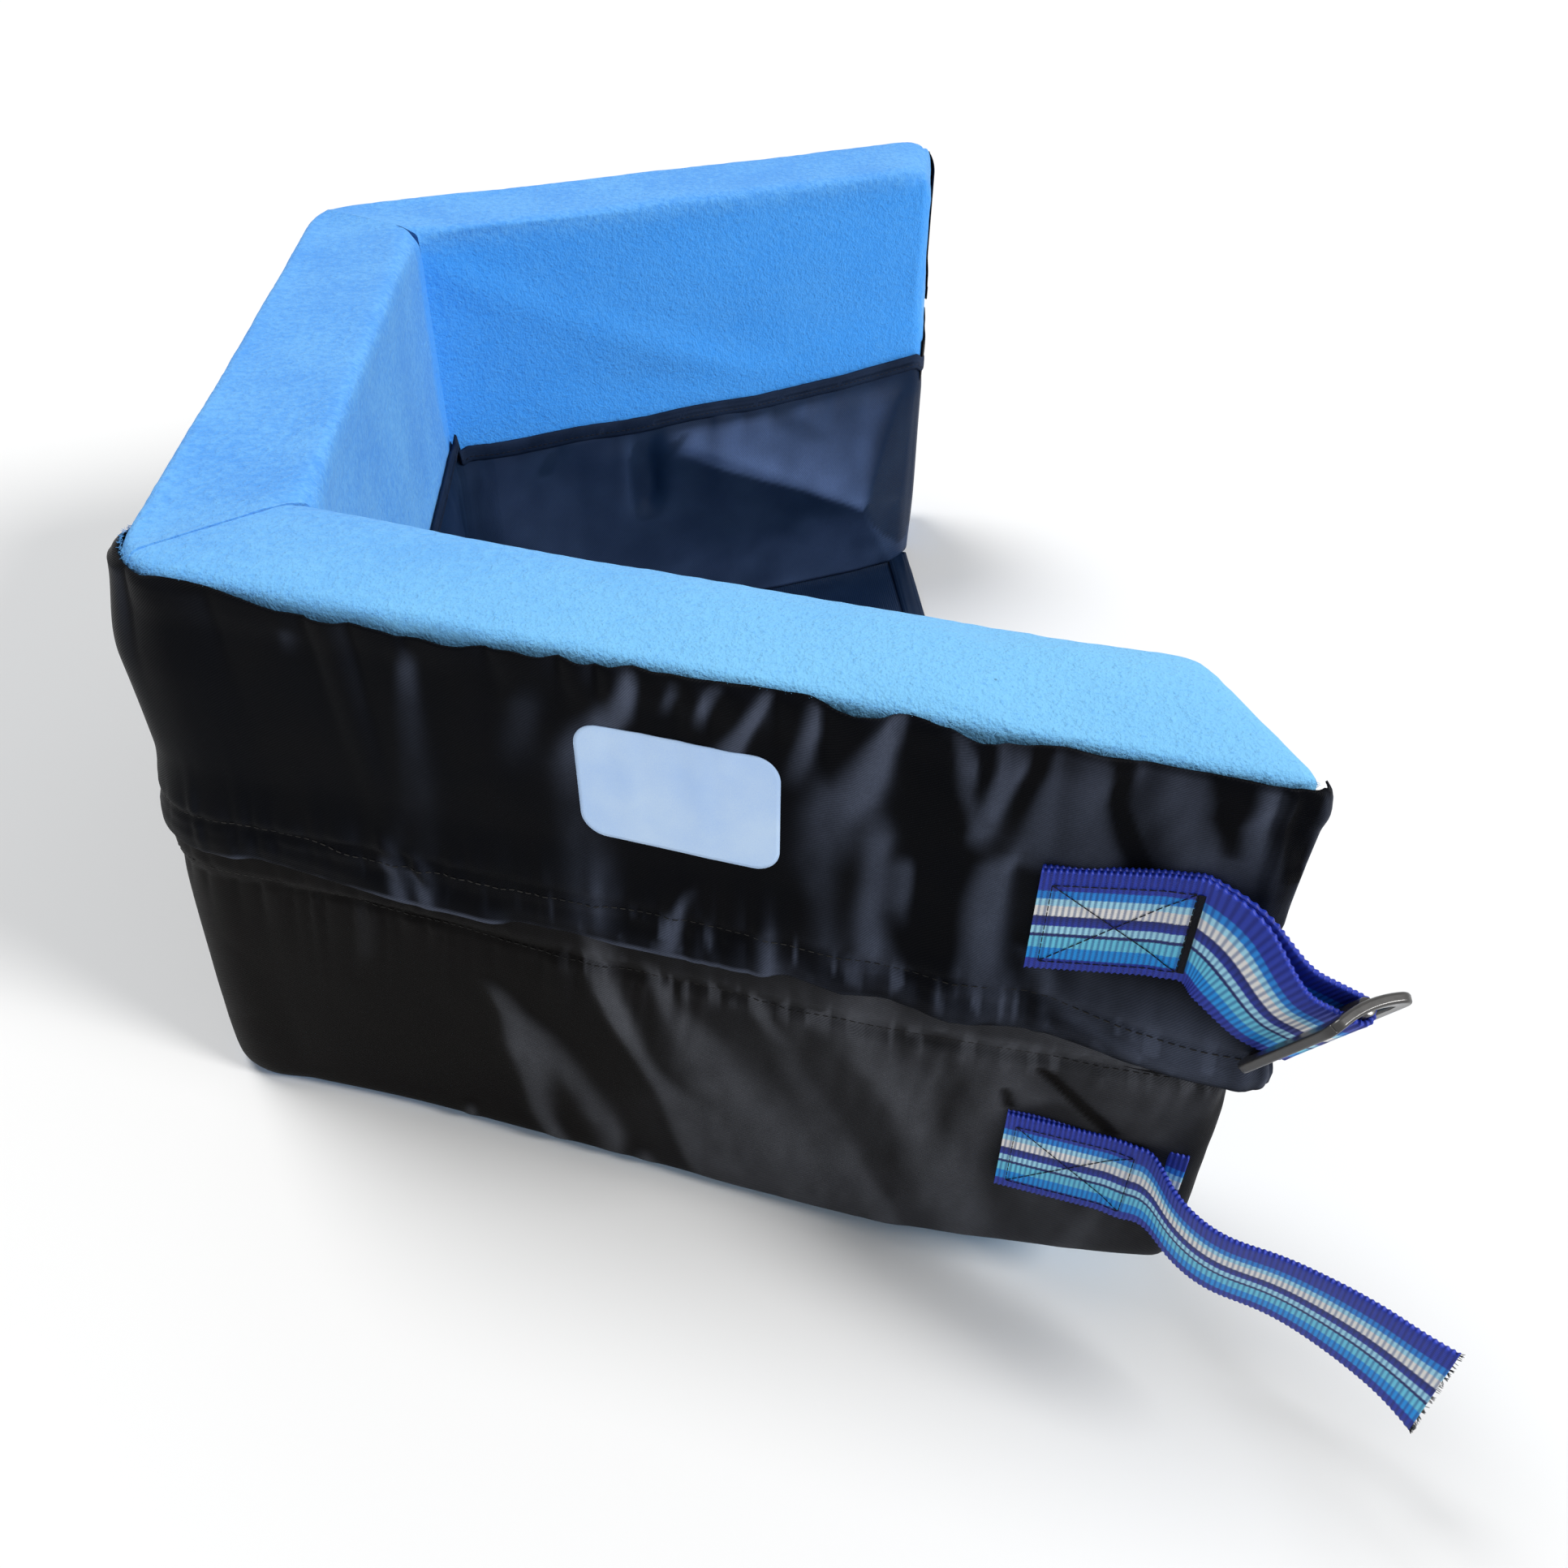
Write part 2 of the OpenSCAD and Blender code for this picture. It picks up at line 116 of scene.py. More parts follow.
@dataclass(frozen=True)
class Wall:
    """The padded wall in plan and height, and the map from its own space to the frame.

    A point's own coordinates are q, along the outer faces from the front leg's end
    (negative) to the rear leg's, y, inward from the flap's face, and z, the height.
    """

    leg: float = 350.0
    middle: float = 335.0
    angle: float = 111.0
    thick: float = 57.0
    height: float = 236.0
    lean: float = 8.7
    depth: float = 170.0
    cover_face: float = 3.8
    centre: float = 30.0
    toe_rise: float = 27.0
    toe_length: float = 150.0
    top_out_radius: float = 4.5
    top_in_radius: float = 10.0
    foot_radius: float = 8.0
    end_top_radius: float = 14.0
    end_side_radius: float = 7.0
    end_out_radius: float = 3.5
    rear_end_share: float = 1.6
    slant_start: float = 60.0
    squeeze_reach: float = 60.0
    flare_top: float = 9.0
    flare_foot: float = 10.0
    flare_leg: float = 4.0
    flare_reach: tuple[float, float] = (45.0, 75.0)
    flare_depth: float = 34.0

    @property
    def half(self) -> float:
        """Distance from the middle of the middle panel to an outer corner."""
        return self.middle / 2

    @property
    def end(self) -> float:
        """Coordinate q of a leg's end on the outer face."""
        return self.half + self.leg

    @property
    def mitre(self) -> float:
        """Distance along a panel that the mitre takes for each millimetre inward."""
        return 1 / math.tan(math.radians(self.angle / 2))

    @property
    def end_slope(self) -> float:
        """Distance that a leg gets shorter for each millimetre inward."""
        return math.tan(math.radians(self.angle - 90 + self.lean))

    def flare(self, turn: Array, distance: Array, leg: Array, z: Array) -> Array:
        """How far the wall stands out near an outer corner, most at the middle panel's foot.

        Args:
            turn: 0 on a panel's own face, 1 at the mitre.
            distance: distance along the panel from the mitre.
            leg: whether the panel is a leg.
            z: height.

        Returns:
            Distances outward.
        """
        low, high = ease((165 - z) / 140), ease((238 - z) / 40)
        side = ease(np.where(leg, turn / 2, 1 - turn / 2))
        out = mix(self.flare_leg * high * (1 - low / 4), self.flare_foot * low + self.flare_top * high, side)
        return out * hill(distance, np.where(leg, *self.flare_reach))

    def squeeze(self, q: Array, y: Array) -> Array:
        """Moves q clear of the mitre for a sheet that runs round a corner.

        Args:
            q: places along the wall, from its middle.
            y: places across the wall.

        Returns:
            The moved q.
        """
        past = np.abs(q) - self.half
        s = np.abs(past)
        s = s + self.mitre * np.maximum(y, 0) * np.maximum(0, 1 - s / self.squeeze_reach)
        return np.where(q < 0, -1, 1) * (self.half + np.where(past < 0, -s, s))

    def place(self, q: Array, y: Array, z: Array, centre: float | None = None,
              rounded: bool = True, toe: bool = True) -> Array:
        """Maps points from the wall's own space to the frame.

        Args:
            q: distance along the outer faces.
            y: distance inward.
            z: height.
            centre: inward place of the corner arcs' centre.
            rounded: whether the long edges are rounded as the cover's are.
            toe: whether the underside rises at the leg ends.

        Returns:
            Points in millimetres, one row each.
        """
        centre = self.centre if centre is None else centre
        past = np.abs(q) - self.half
        leg = past > 0
        s, y, z = np.abs(past).astype(float), y.astype(float), z.astype(float)
        if rounded:
            for edge_y, sign, edge_z, up, radius in (
                (self.cover_face, -1, self.height, 1, self.top_out_radius),
                (self.thick, 1, self.height, 1, self.top_in_radius),
                (self.thick, 1, 0, -1, self.foot_radius),
                (self.cover_face, -1, 0, -1, self.foot_radius),
            ):
                y, z = self.rounded(y, z, edge_y, sign, edge_z, up, radius)
        far = np.where(leg, s, 0)
        depth = np.clip((y - self.cover_face) / (self.thick - self.cover_face), 0, 1)
        top_radius = np.where(q < 0, mix(self.end_out_radius, self.end_top_radius, depth),
                              self.rear_end_share * self.end_top_radius)
        far, z = self.rounded(far, z, self.leg, 1, self.height, 1, top_radius)
        for edge_y, sign in ((self.cover_face, -1), (self.thick, 1)):
            far, y = self.rounded(far, y, self.leg, 1, edge_y, sign, self.end_side_radius)
        s = np.where(leg, far, s)
        # outer corner: an arc about the corner's centre, then the flare outwards
        cs = centre * self.mitre
        ds, dy = s - cs, y - centre
        wedge = (ds < 0) & (dy < 0)
        length = np.hypot(ds, dy) + 1e-9
        scale = np.where(wedge, -dy / length, 1)
        s, y = cs + ds * scale, centre + dy * scale
        turn = math.radians(90 - self.angle / 2)
        share = np.where(wedge, np.arctan2(-ds, -dy) / turn, 0)
        distance = np.where(wedge, cs * (1 - share), s)
        depth = np.where(wedge, centre - self.cover_face + dy, y - self.cover_face)
        out = self.flare(share, distance, leg, z) * (1 - ease(depth / self.flare_depth))
        s = s + np.where(wedge, ds / length, 0) * out
        y = y + np.where(wedge, dy / length, -1) * out
        # leg ends: cut on the slant, raised underneath
        shear = self.end_slope * y * np.clip((s - self.slant_start) / (self.leg - self.slant_start), 0, 1.2)
        s = np.where(leg, s - shear, s)
        radius = (self.toe_length**2 + self.toe_rise**2) / (2 * self.toe_rise)
        x = np.clip(s + self.end_slope * y - self.leg + self.toe_length, 0, self.toe_length + 9)
        rise = np.where(leg & toe, radius - np.sqrt(radius**2 - x**2), 0)
        z = rise + z * (self.height - rise) / self.height
        a = math.radians(self.angle)
        px = np.where(leg, math.sin(a) * s - math.cos(a) * y, y) - self.depth
        py = np.where(leg, math.cos(a) * s + math.sin(a) * y, s) - self.half
        return np.stack([px, np.where(q < 0, py, -py), z], axis=-1)

    @staticmethod
    def rounded(a: Array, b: Array, edge_a: float, sign_a: int, edge_b: float,
                sign_b: int, radius: float) -> tuple[Array, Array]:
        """Rounds one square corner in a plane.

        Args:
            a: first coordinates.
            b: second coordinates.
            edge_a: place of the corner along a.
            sign_a: 1 if the corner is at a's high side, else -1.
            edge_b: place of the corner along b.
            sign_b: 1 if the corner is at b's high side, else -1.
            radius: radius of the corner.

        Returns:
            The moved coordinates.
        """
        ca, cb = edge_a - sign_a * radius, edge_b - sign_b * radius
        da, db = (a - ca) * sign_a, (b - cb) * sign_b
        inside = (da > 0) & (db > 0)
        scale = np.where(inside, np.maximum(da, db) / (np.hypot(da, db) + 1e-9), 1)
        return np.where(inside, ca + sign_a * da * scale, a), np.where(inside, cb + sign_b * db * scale, b)

    @classmethod
    def plate(cls, x: Array, z: Array, half_x: float, half_z: float, radius: float) -> tuple[Array, Array]:
        """Rounds the four corners of a flat plate about its middle.

        Args:
            x: places across.
            z: places up.
            half_x: half the width.
            half_z: half the height.
            radius: radius of the corners.

        Returns:
            The moved x and z.
        """
        for sx in (-1, 1):
            for sz in (-1, 1):
                x, z = cls.rounded(x, z, sx * half_x, sx, sz * half_z, sz, radius)
        return x, z

    def stations(self, y: float, step: float, wrap: float, centre: float | None = None) -> Array:
        """Values of q spaced evenly along a line of the wall.

        Args:
            y: the line's distance inward.
            step: spacing in millimetres.
            wrap: distance that the line runs on past each leg's end.
            centre: inward place of the corner arcs' centre.

        Returns:
            The values, from the front leg's end to the rear leg's.
        """
        q = np.linspace(-self.end - wrap, self.end + wrap, 6001)
        line = self.place(self.squeeze(q, np.full_like(q, y)), np.full_like(q, y),
                          np.full_like(q, 100.0), centre, False)
        run = np.concatenate([[0], np.cumsum(np.linalg.norm(np.diff(line, axis=0), axis=1))])
        return np.interp(np.linspace(0, run[-1], int(run[-1] / step) + 1), run, q)


WALL = Wall()
HALF, END = WALL.half, WALL.end
SHELL_PLY, LINER_PLY = 0.0006, 0.0005  # thickness of the nylons, in metres
STITCH_PITCH = 2.9
COVERS = ["front_cover", "side_cover", "rear_cover"]


# ---- folds in cloth


@dataclass(frozen=True)
class Fold:
    """A ridge, or a valley if its height is negative, along a line on a sheet."""

    start: tuple[float, float]
    stop: tuple[float, float]
    width: float
    height: float

    def at(self, x: Array, z: Array) -> Array:
        """Height of the fold at each point.

        Args:
            x: places along the leg.
            z: heights.

        Returns:
            One height for each point.
        """
        dx, dz = self.stop[0] - self.start[0], self.stop[1] - self.start[1]
        length = math.hypot(dx, dz)
        run = ((x - self.start[0]) * dx + (z - self.start[1]) * dz) / length**2
        off = ((x - self.start[0]) * dz - (z - self.start[1]) * dx) / length
        taper = ease((run + 0.15) / 0.4) * ease((1.15 - run) / 0.4)
        return self.height * taper * hill(off, self.width)


@dataclass(frozen=True)
class Sheen:
    """A painted highlight along a fold of a leg's cloth, or painted shade where its level is negative, given by
    knots from its top to its foot.

    Each knot is (height, distance along the leg, width to the left, width to the right, level).
    """

    knots: tuple[tuple[float, float, float, float, float], ...]

    def at(self, s: Array, z: Array) -> Array:
        """Painted brightness of the fold at each point.

        Args:
            s: places along the leg.
            z: heights.

        Returns:
            One brightness for each point.
        """
        table = np.array(self.knots)[::-1].T
        middle, left, right, level = (np.interp(z, table[0], row) for row in table[1:])
        inside = ease((z - table[0][0] + 2) / 3) * ease((table[0][-1] + 2 - z) / 3)
        width = 1.35 * np.where(s < middle, left, right)
        return level * inside * np.exp(-(np.abs((s - middle) / width) ** 2.5))


@dataclass
class Gathers:
    """Puckers that start at a seam: cloth stands out between one crease and the next."""

    seed: int
    spacing: tuple[float, float]
    height: tuple[float, float]
    length: tuple[float, float]
    slant: float = 0.0
    marked: Sequence[float] = ()
    reach: float = 540.0
    creases: Array = field(init=False)

    def __post_init__(self) -> None:
        """Draws the creases, keeping the marked ones."""
        rng = np.random.default_rng(self.seed)
        places, q = [], -self.reach
        low, high = (min(self.marked), max(self.marked)) if self.marked else (9e9, 9e9)
        while q < self.reach:
            if not low <= q <= high:
                places.append(q)
            q += rng.uniform(*self.spacing)
        self.creases = np.sort(np.array(places + list(self.marked)))
        count = len(self.creases) + 1
        self.heights = rng.uniform(*self.height, count)
        self.lengths = rng.uniform(*self.length, count)

    def at(self, q: Array, drop: Array) -> Array:
        """Height at a distance drop from the seam.

        Args:
            q: distance along the seam.
            drop: distance from the seam, never negative.

        Returns:
            Height off the smooth cloth.
        """
        q = q + self.slant * drop
        i = np.clip(np.searchsorted(self.creases, q) - 1, 0, len(self.creases) - 2)
        x = (q - self.creases[i]) / (self.creases[i + 1] - self.creases[i])
        x = np.clip(x, 0, 1)
        arch = (4 * x * (1 - x)) ** (0.6 + drop / 45)
        fade = np.exp(-((drop / self.lengths[i]) ** 1.4)) * ease((drop + 0.5) / 4)
        return self.heights[i] * arch * fade


# ---- mesh tools


def only(obj: Piece) -> Piece:
    """Selects one object and makes it active.

    Args:
        obj: the object to select.

    Returns:
        The same object.
    """
    bpy.ops.object.select_all(action="DESELECT")
    obj.select_set(True)
    bpy.context.view_layer.objects.active = obj
    return obj


def primitive(kind: str, name: str, **settings: Any) -> Piece:
    """Adds and names a primitive, with nothing else selected.

    Args:
        kind: the primitive, such as "grid".
        name: the piece's name.
        **settings: its sizes and counts.

    Returns:
        The new piece.
    """
    bpy.ops.object.select_all(action="DESELECT")
    getattr(bpy.ops.mesh, f"primitive_{kind}_add")(**settings)
    obj = bpy.context.object
    obj.name = obj.data.name = name
    return only(obj)


def coordinates(obj: Piece) -> Array:
    """The mesh's points in millimetres.

    Args:
        obj: the mesh object.

    Returns:
        One row of three for each point.
    """
    flat = np.empty(len(obj.data.vertices) * 3)
    obj.data.vertices.foreach_get("co", flat)
    return flat.reshape(-1, 3) / MM


def write(obj: Piece, points: Array) -> None:
    """Writes points given in millimetres to the mesh."""
    obj.data.vertices.foreach_set("co", (points * MM).ravel())
    obj.data.update()


def normals(obj: Piece) -> Array:
    """The mesh's vertex normals.

    Args:
        obj: the mesh object.

    Returns:
        One row of three for each point.
    """
    flat = np.empty(len(obj.data.vertices) * 3)
    obj.data.vertices.foreach_get("normal", flat)
    return flat.reshape(-1, 3)


def modify(obj: Piece, kind: str, **settings: Any) -> None:
    """Adds a modifier and applies it.

    Args:
        obj: the piece.
        kind: the modifier's type.
        **settings: its properties.
    """
    only(obj)
    modifier = obj.modifiers.new(kind.title(), kind)
    for key, value in settings.items():
        setattr(modifier, key, value)
    bpy.ops.object.modifier_apply(modifier=modifier.name)


def edit(obj: Piece, *steps: Callable[[], Any]) -> None:
    """Runs steps in edit mode with everything selected at the start of each.

    Args:
        obj: the object to edit.
        *steps: calls that work on what is selected.
    """
    only(obj)
    bpy.ops.object.mode_set(mode="EDIT")
    bpy.ops.mesh.select_mode(type="VERT")
    for step in steps:
        bpy.ops.mesh.select_all(action="SELECT")
        step()
    bpy.ops.object.mode_set(mode="OBJECT")


def sheet(name: str, columns: Array, rows: Array, shape: Callable[[Array, Array], Array],
          closed: bool = False, across: Array | None = None) -> Piece:
    """Lays a flat grid over a shape, with a UV map in metres along and across.

    Args:
        name: the piece's name.
        columns: values along the sheet.
        rows: values across it.
        shape: gives a point in millimetres for each pair of values.
        closed: whether the first and last rows meet, as round a strap.
        across: each row's place on the map, where it isn't its value.

    Returns:
        The new piece.
    """
    nx, ny = len(columns), len(rows)
    obj = primitive("grid", name, x_subdivisions=nx - 1, y_subdivisions=ny - 1, size=1)
    i, j = np.tile(np.arange(nx), ny), np.repeat(np.arange(ny), nx)
    write(obj, shape(columns[i], rows[j]))
    vertex = np.empty(len(obj.data.loops), int)
    obj.data.loops.foreach_get("vertex_index", vertex)
    across = rows if across is None else across
    uv = np.stack([columns[i][vertex], across[j][vertex]], axis=-1) * MM
    obj.data.uv_layers[0].data.foreach_set("uv", uv.ravel())
    if closed:
        edit(obj, lambda: bpy.ops.mesh.remove_doubles(threshold=0.00001), cap_ends,
             lambda: bpy.ops.mesh.normals_make_consistent(inside=False))
    only(obj)
    bpy.ops.object.shade_smooth()
    return obj


def painted_fold_light(height: Array, across: Array, reach: float = 9.0) -> Array:
    """Painted fold light on a sheet's points: highlights most on its ridges and on the slopes that face on
    along it.

    Args:
        height: the cloth's height at each row and column, in millimetres.
        across: place of each column.
        reach: width that a ridge is measured against.

    Returns:
        Values in the same rows and columns, below 0 where shade is painted into the creases.
    """
    count = max(1, round(reach / abs(across[1] - across[0])))
    smooth = height
    for _ in range(2):
        for axis in (0, 1):
            smooth = sum(np.roll(smooth, k, axis) for k in range(-count, count + 1)) / (2 * count + 1)
    slope = -np.gradient(height, across, axis=1)
    found = np.clip(0.14 * (height - smooth) + 1.5 * slope - 0.07, -0.6, 1)
    for axis in (0, 1):
        found = (np.roll(found, 1, axis) + 2 * found + np.roll(found, -1, axis)) / 4
    return found


def flat_size(obj: Piece, columns: int, rows: int) -> tuple[float, float]:
    """Width and length of a sheet as cut: the mean lengths of its columns and rows, in metres.

    Args:
        obj: the sheet.
        columns: number of its columns.
        rows: number of its rows.

    Returns:
        The width and the length.
    """
    grid = coordinates(obj).reshape(rows, columns, 3) * MM
    down = np.linalg.norm(np.diff(grid, axis=0), axis=-1).sum(axis=0).mean()
    along = np.linalg.norm(np.diff(grid, axis=1), axis=-1).sum(axis=1).mean()
    return float(down), float(along)


def cut_cloth(obj: Piece, grid: tuple[Array, Array], thick: float, slot: str, look: "Finish",
              node: str, **facts: Any) -> None:
    """Args:
        obj: the sheet, still a bare grid.
        grid: its columns and rows.
        thick: thickness in metres, inwards from the sheet.
        slot: the record's material slot.
        look: its finish.
        node: CAD node that it stands for.
        **facts: how it is held, what it rests on and what is sewn to it; not used.
    """
    flat = flat_size(obj, len(grid[0]), len(grid[1]))
    modify(obj, "SOLIDIFY", thickness=thick, offset=-1)
    finish(obj, "cushion", slot, look, node)


def painted_sheen_and_tone(obj: Piece, values: Array) -> None:
    """Keeps the painted sheen, painted shade and tone of a sheet's points as an attribute of its mesh."""
    layer = obj.data.attributes.new("painted_sheen_and_tone", "FLOAT", "POINT")
    layer.data.foreach_set("value", np.clip(values, 0, 1).ravel().astype(np.float32))


def cap_ends() -> None:
    """Closes the open ends of the mesh in edit mode."""
    bpy.ops.mesh.select_all(action="DESELECT")
    bpy.ops.mesh.select_non_manifold(extend=False, use_wire=False, use_multi_face=False,
                                     use_non_contiguous=False, use_verts=False)
    bpy.ops.mesh.edge_face_add()


def face_out(obj: Piece) -> None:
    """Turns all faces of a closed piece outwards."""
    edit(obj, lambda: bpy.ops.mesh.normals_make_consistent(inside=False))


class Stitcher:
    """Copies one stitch along lines of sewing."""

    def __init__(self, length: float = 2.1, thick: float = 0.42, sides: int = 6) -> None:
        """Models the stitch.

        Args:
            length: length of a stitch.
            thick: diameter of the thread.
            sides: sides of the thread.
        """
        pattern = primitive("uv_sphere", "stitch_pattern", segments=sides, ring_count=5, radius=0.5)
        edit(pattern, lambda: bpy.ops.mesh.quads_convert_to_tris())
        points = coordinates(pattern) * MM
        points[:, 2] = np.sign(points[:, 2]) * np.abs(2 * points[:, 2]) ** 0.5 / 2
        self.points = points[:, [2, 0, 1]] * np.array([length, thick, thick])
        self.faces = np.array([f.vertices[:] for f in pattern.data.polygons])
        bpy.data.objects.remove(pattern)

    def sew(self, name: str, places: Array, ways: Array, ups: Array) -> Piece:
        """Makes one piece of many stitches.

        Args:
            name: the piece's name.
            places: middle of each stitch.
            ways: direction of each stitch.
            ups: direction off the cloth at each stitch.

        Returns:
            The new piece.
        """
        way = ways / np.linalg.norm(ways, axis=1, keepdims=True)
        across = np.cross(ups, way)
        across /= np.linalg.norm(across, axis=1, keepdims=True)
        up = np.cross(way, across)
        p = self.points
        points = (places[:, None] + p[None, :, :1] * way[:, None]
                  + p[None, :, 1:2] * across[:, None] + p[None, :, 2:] * up[:, None])
        step = np.arange(len(places))[:, None, None] * len(p)
        mesh = bpy.data.meshes.new(name)
        mesh.from_pydata((points.reshape(-1, 3) * MM).tolist(), [],
                         (self.faces[None] + step).reshape(-1, 3).tolist())
        obj = bpy.data.objects.new(name, mesh)
        bpy.context.scene.collection.objects.link(obj)
        face_out(obj)
        bpy.ops.object.shade_smooth()
        return obj

    def line(self, name: str, q: Array, shape: Callable[[Array], Array],
             up: Callable[[Array], Array]) -> Piece:
        """Sews along a curve: shape and up give the point and the way off the cloth at each q."""
        return self.sew(name, shape(q), shape(q + 0.5) - shape(q - 0.5), up(q))


# ---- finishes


class Socket:
    """A shader socket that is written as a number or a colour in an expression."""

    def __init__(self, graph: "Graph", socket: bpy.types.NodeSocket) -> None:
        """Wraps a socket of a graph."""
        self.graph, self.socket = graph, socket

    def math(self, operation: str, *others: Any) -> "Socket":
        """Adds one Math node and returns its value."""
        return self.graph.node("ShaderNodeMath", {"operation": operation}, self, *others)

    def __add__(self, other: Any) -> "Socket":
        """Sum."""
        return self.math("ADD", other)

    def __sub__(self, other: Any) -> "Socket":
        """Difference."""
        return self.math("SUBTRACT", other)

    def __rsub__(self, other: Any) -> "Socket":
        """Difference from a number."""
        return self.graph.node("ShaderNodeMath", {"operation": "SUBTRACT"}, other, self)

    def __mul__(self, other: Any) -> "Socket":
        """Product."""
        return self.math("MULTIPLY", other)

    def __truediv__(self, other: Any) -> "Socket":
        """Quotient."""
        return self.math("DIVIDE", other)

    __radd__ = __add__
    __rmul__ = __mul__

    def wave(self, pitch: float, phase: Any = 0.0) -> "Socket":
        """Sine from 0 to 1 that repeats once in each pitch."""
        return (self * (2 * math.pi / pitch) + phase).math("SINE") * 0.5 + 0.5

    def step(self, low: float, high: float) -> "Socket":
        """Smooth step from 0 at low to 1 at high."""
        return self.graph.node("ShaderNodeMapRange", {"interpolation_type": "SMOOTHSTEP"},
                               self, low, high, 0.0, 1.0)

    def blend(self, first: Any, second: Any) -> "Socket":
        """Colour between two, with this value as the share of the second.

        Args:
            first: the colour at 0.
            second: the colour at 1.

        Returns:
            The blended colour.
        """
        settings = {"data_type": "RGBA", "blend_type": "MIX"}
        return self.graph.node("ShaderNodeMix", settings, out="Result_Color",
                               Factor_Float=self, A_Color=first, B_Color=second)


Colour = tuple[float, float, float, float]


def rgb(red: float, green: float, blue: float) -> Colour:
    """Colour with full cover."""
    return (red, green, blue, 1.0)


class Graph:
    """The nodes of a material or of the world."""

    def __init__(self, owner: bpy.types.Material | bpy.types.World) -> None:
        """Empties the owner's nodes.

        Args:
            owner: the material or world that it fills.
        """
        owner.use_nodes = True
        self.owner, self.tree = owner, owner.node_tree
        self.tree.nodes.clear()

    def node(self, kind: str, settings: dict[str, Any] | None = None, *values: Any,
             out: str | int = 0, **inputs: Any) -> Socket:
        """Adds any node.

        Args:
            kind: the node's type.
            settings: its properties, set first; "stops" fills a ramp.
            *values: numbers or links for its first sockets.
            out: name or number of the socket to return.
            **inputs: numbers or links by the socket's identifier or name.

        Returns:
            The chosen output.
        """
        made = self.tree.nodes.new(kind)
        for key, value in (settings or {}).items():
            if key == "stops":
                self.fill_ramp(made.color_ramp, value)
            else:
                setattr(made, key, value)
        for index, value in enumerate(values):
            self.feed(made.inputs[index], value)
        for key, value in inputs.items():
            found = [s for s in made.inputs if s.identifier == key or s.name == key.replace("_", " ")]
            self.feed(found[0], value)
        if isinstance(out, str):
            return Socket(self, next(s for s in made.outputs if out in (s.identifier, s.name)))
        return Socket(self, made.outputs[out])

    @staticmethod
    def fill_ramp(ramp: bpy.types.ColorRamp, stops: Sequence[tuple[float, Colour]]) -> None:
        """Gives a ramp its stops.

        Args:
            ramp: the ramp's own data.
            stops: place and colour of each stop.
        """
        while len(ramp.elements) < len(stops):
            ramp.elements.new(0.5)
        for element, (place, colour) in zip(ramp.elements, stops):
            element.position, element.color = place, colour

    def feed(self, socket: bpy.types.NodeSocket, value: Any) -> None:
        """Sets or links one input.

        Args:
            socket: the input.
            value: a value, or a socket to link.
        """
        if isinstance(value, Socket):
            self.tree.links.new(value.socket, socket)
        else:
            socket.default_value = value

    def place(self) -> Socket:
        """Place on the piece, in metres."""
        return self.node("ShaderNodeTexCoord", out="Object")

    def parts(self, vector: Socket, count: int = 3) -> list[Socket]:
        """The first numbers of a vector."""
        return [self.node("ShaderNodeSeparateXYZ", {}, vector, out=i) for i in range(count)]

    def cloth(self) -> list[Socket]:
        """Distance along and across a sheet, in metres."""
        return self.parts(self.node("ShaderNodeTexCoord", out="UV"), 2)

    def noise(self, vector: Socket, scale: float, detail: float = 2.0) -> Socket:
        """Noise value from 0 to 1."""
        return self.node("ShaderNodeTexNoise", {}, out=0, Vector=vector, Scale=scale, Detail=detail)

    def bump(self, height: Socket, distance: float, strength: float = 1.0) -> Socket:
        """Normal from a height from 0 to 1."""
        return self.node("ShaderNodeBump", {}, Height=height, Distance=distance, Strength=strength)

    def surface(self, **inputs: Any) -> bpy.types.Material:
        """Ends the material in one shader and returns it."""
        self.end("ShaderNodeOutputMaterial", self.node("ShaderNodeBsdfPrincipled", {}, **inputs))
        return self.owner

    def end(self, kind: str, shader: Socket) -> None:
        """Links the last shader to an output node of the given type."""
        self.feed(self.tree.nodes.new(kind).inputs["Surface"], shader)


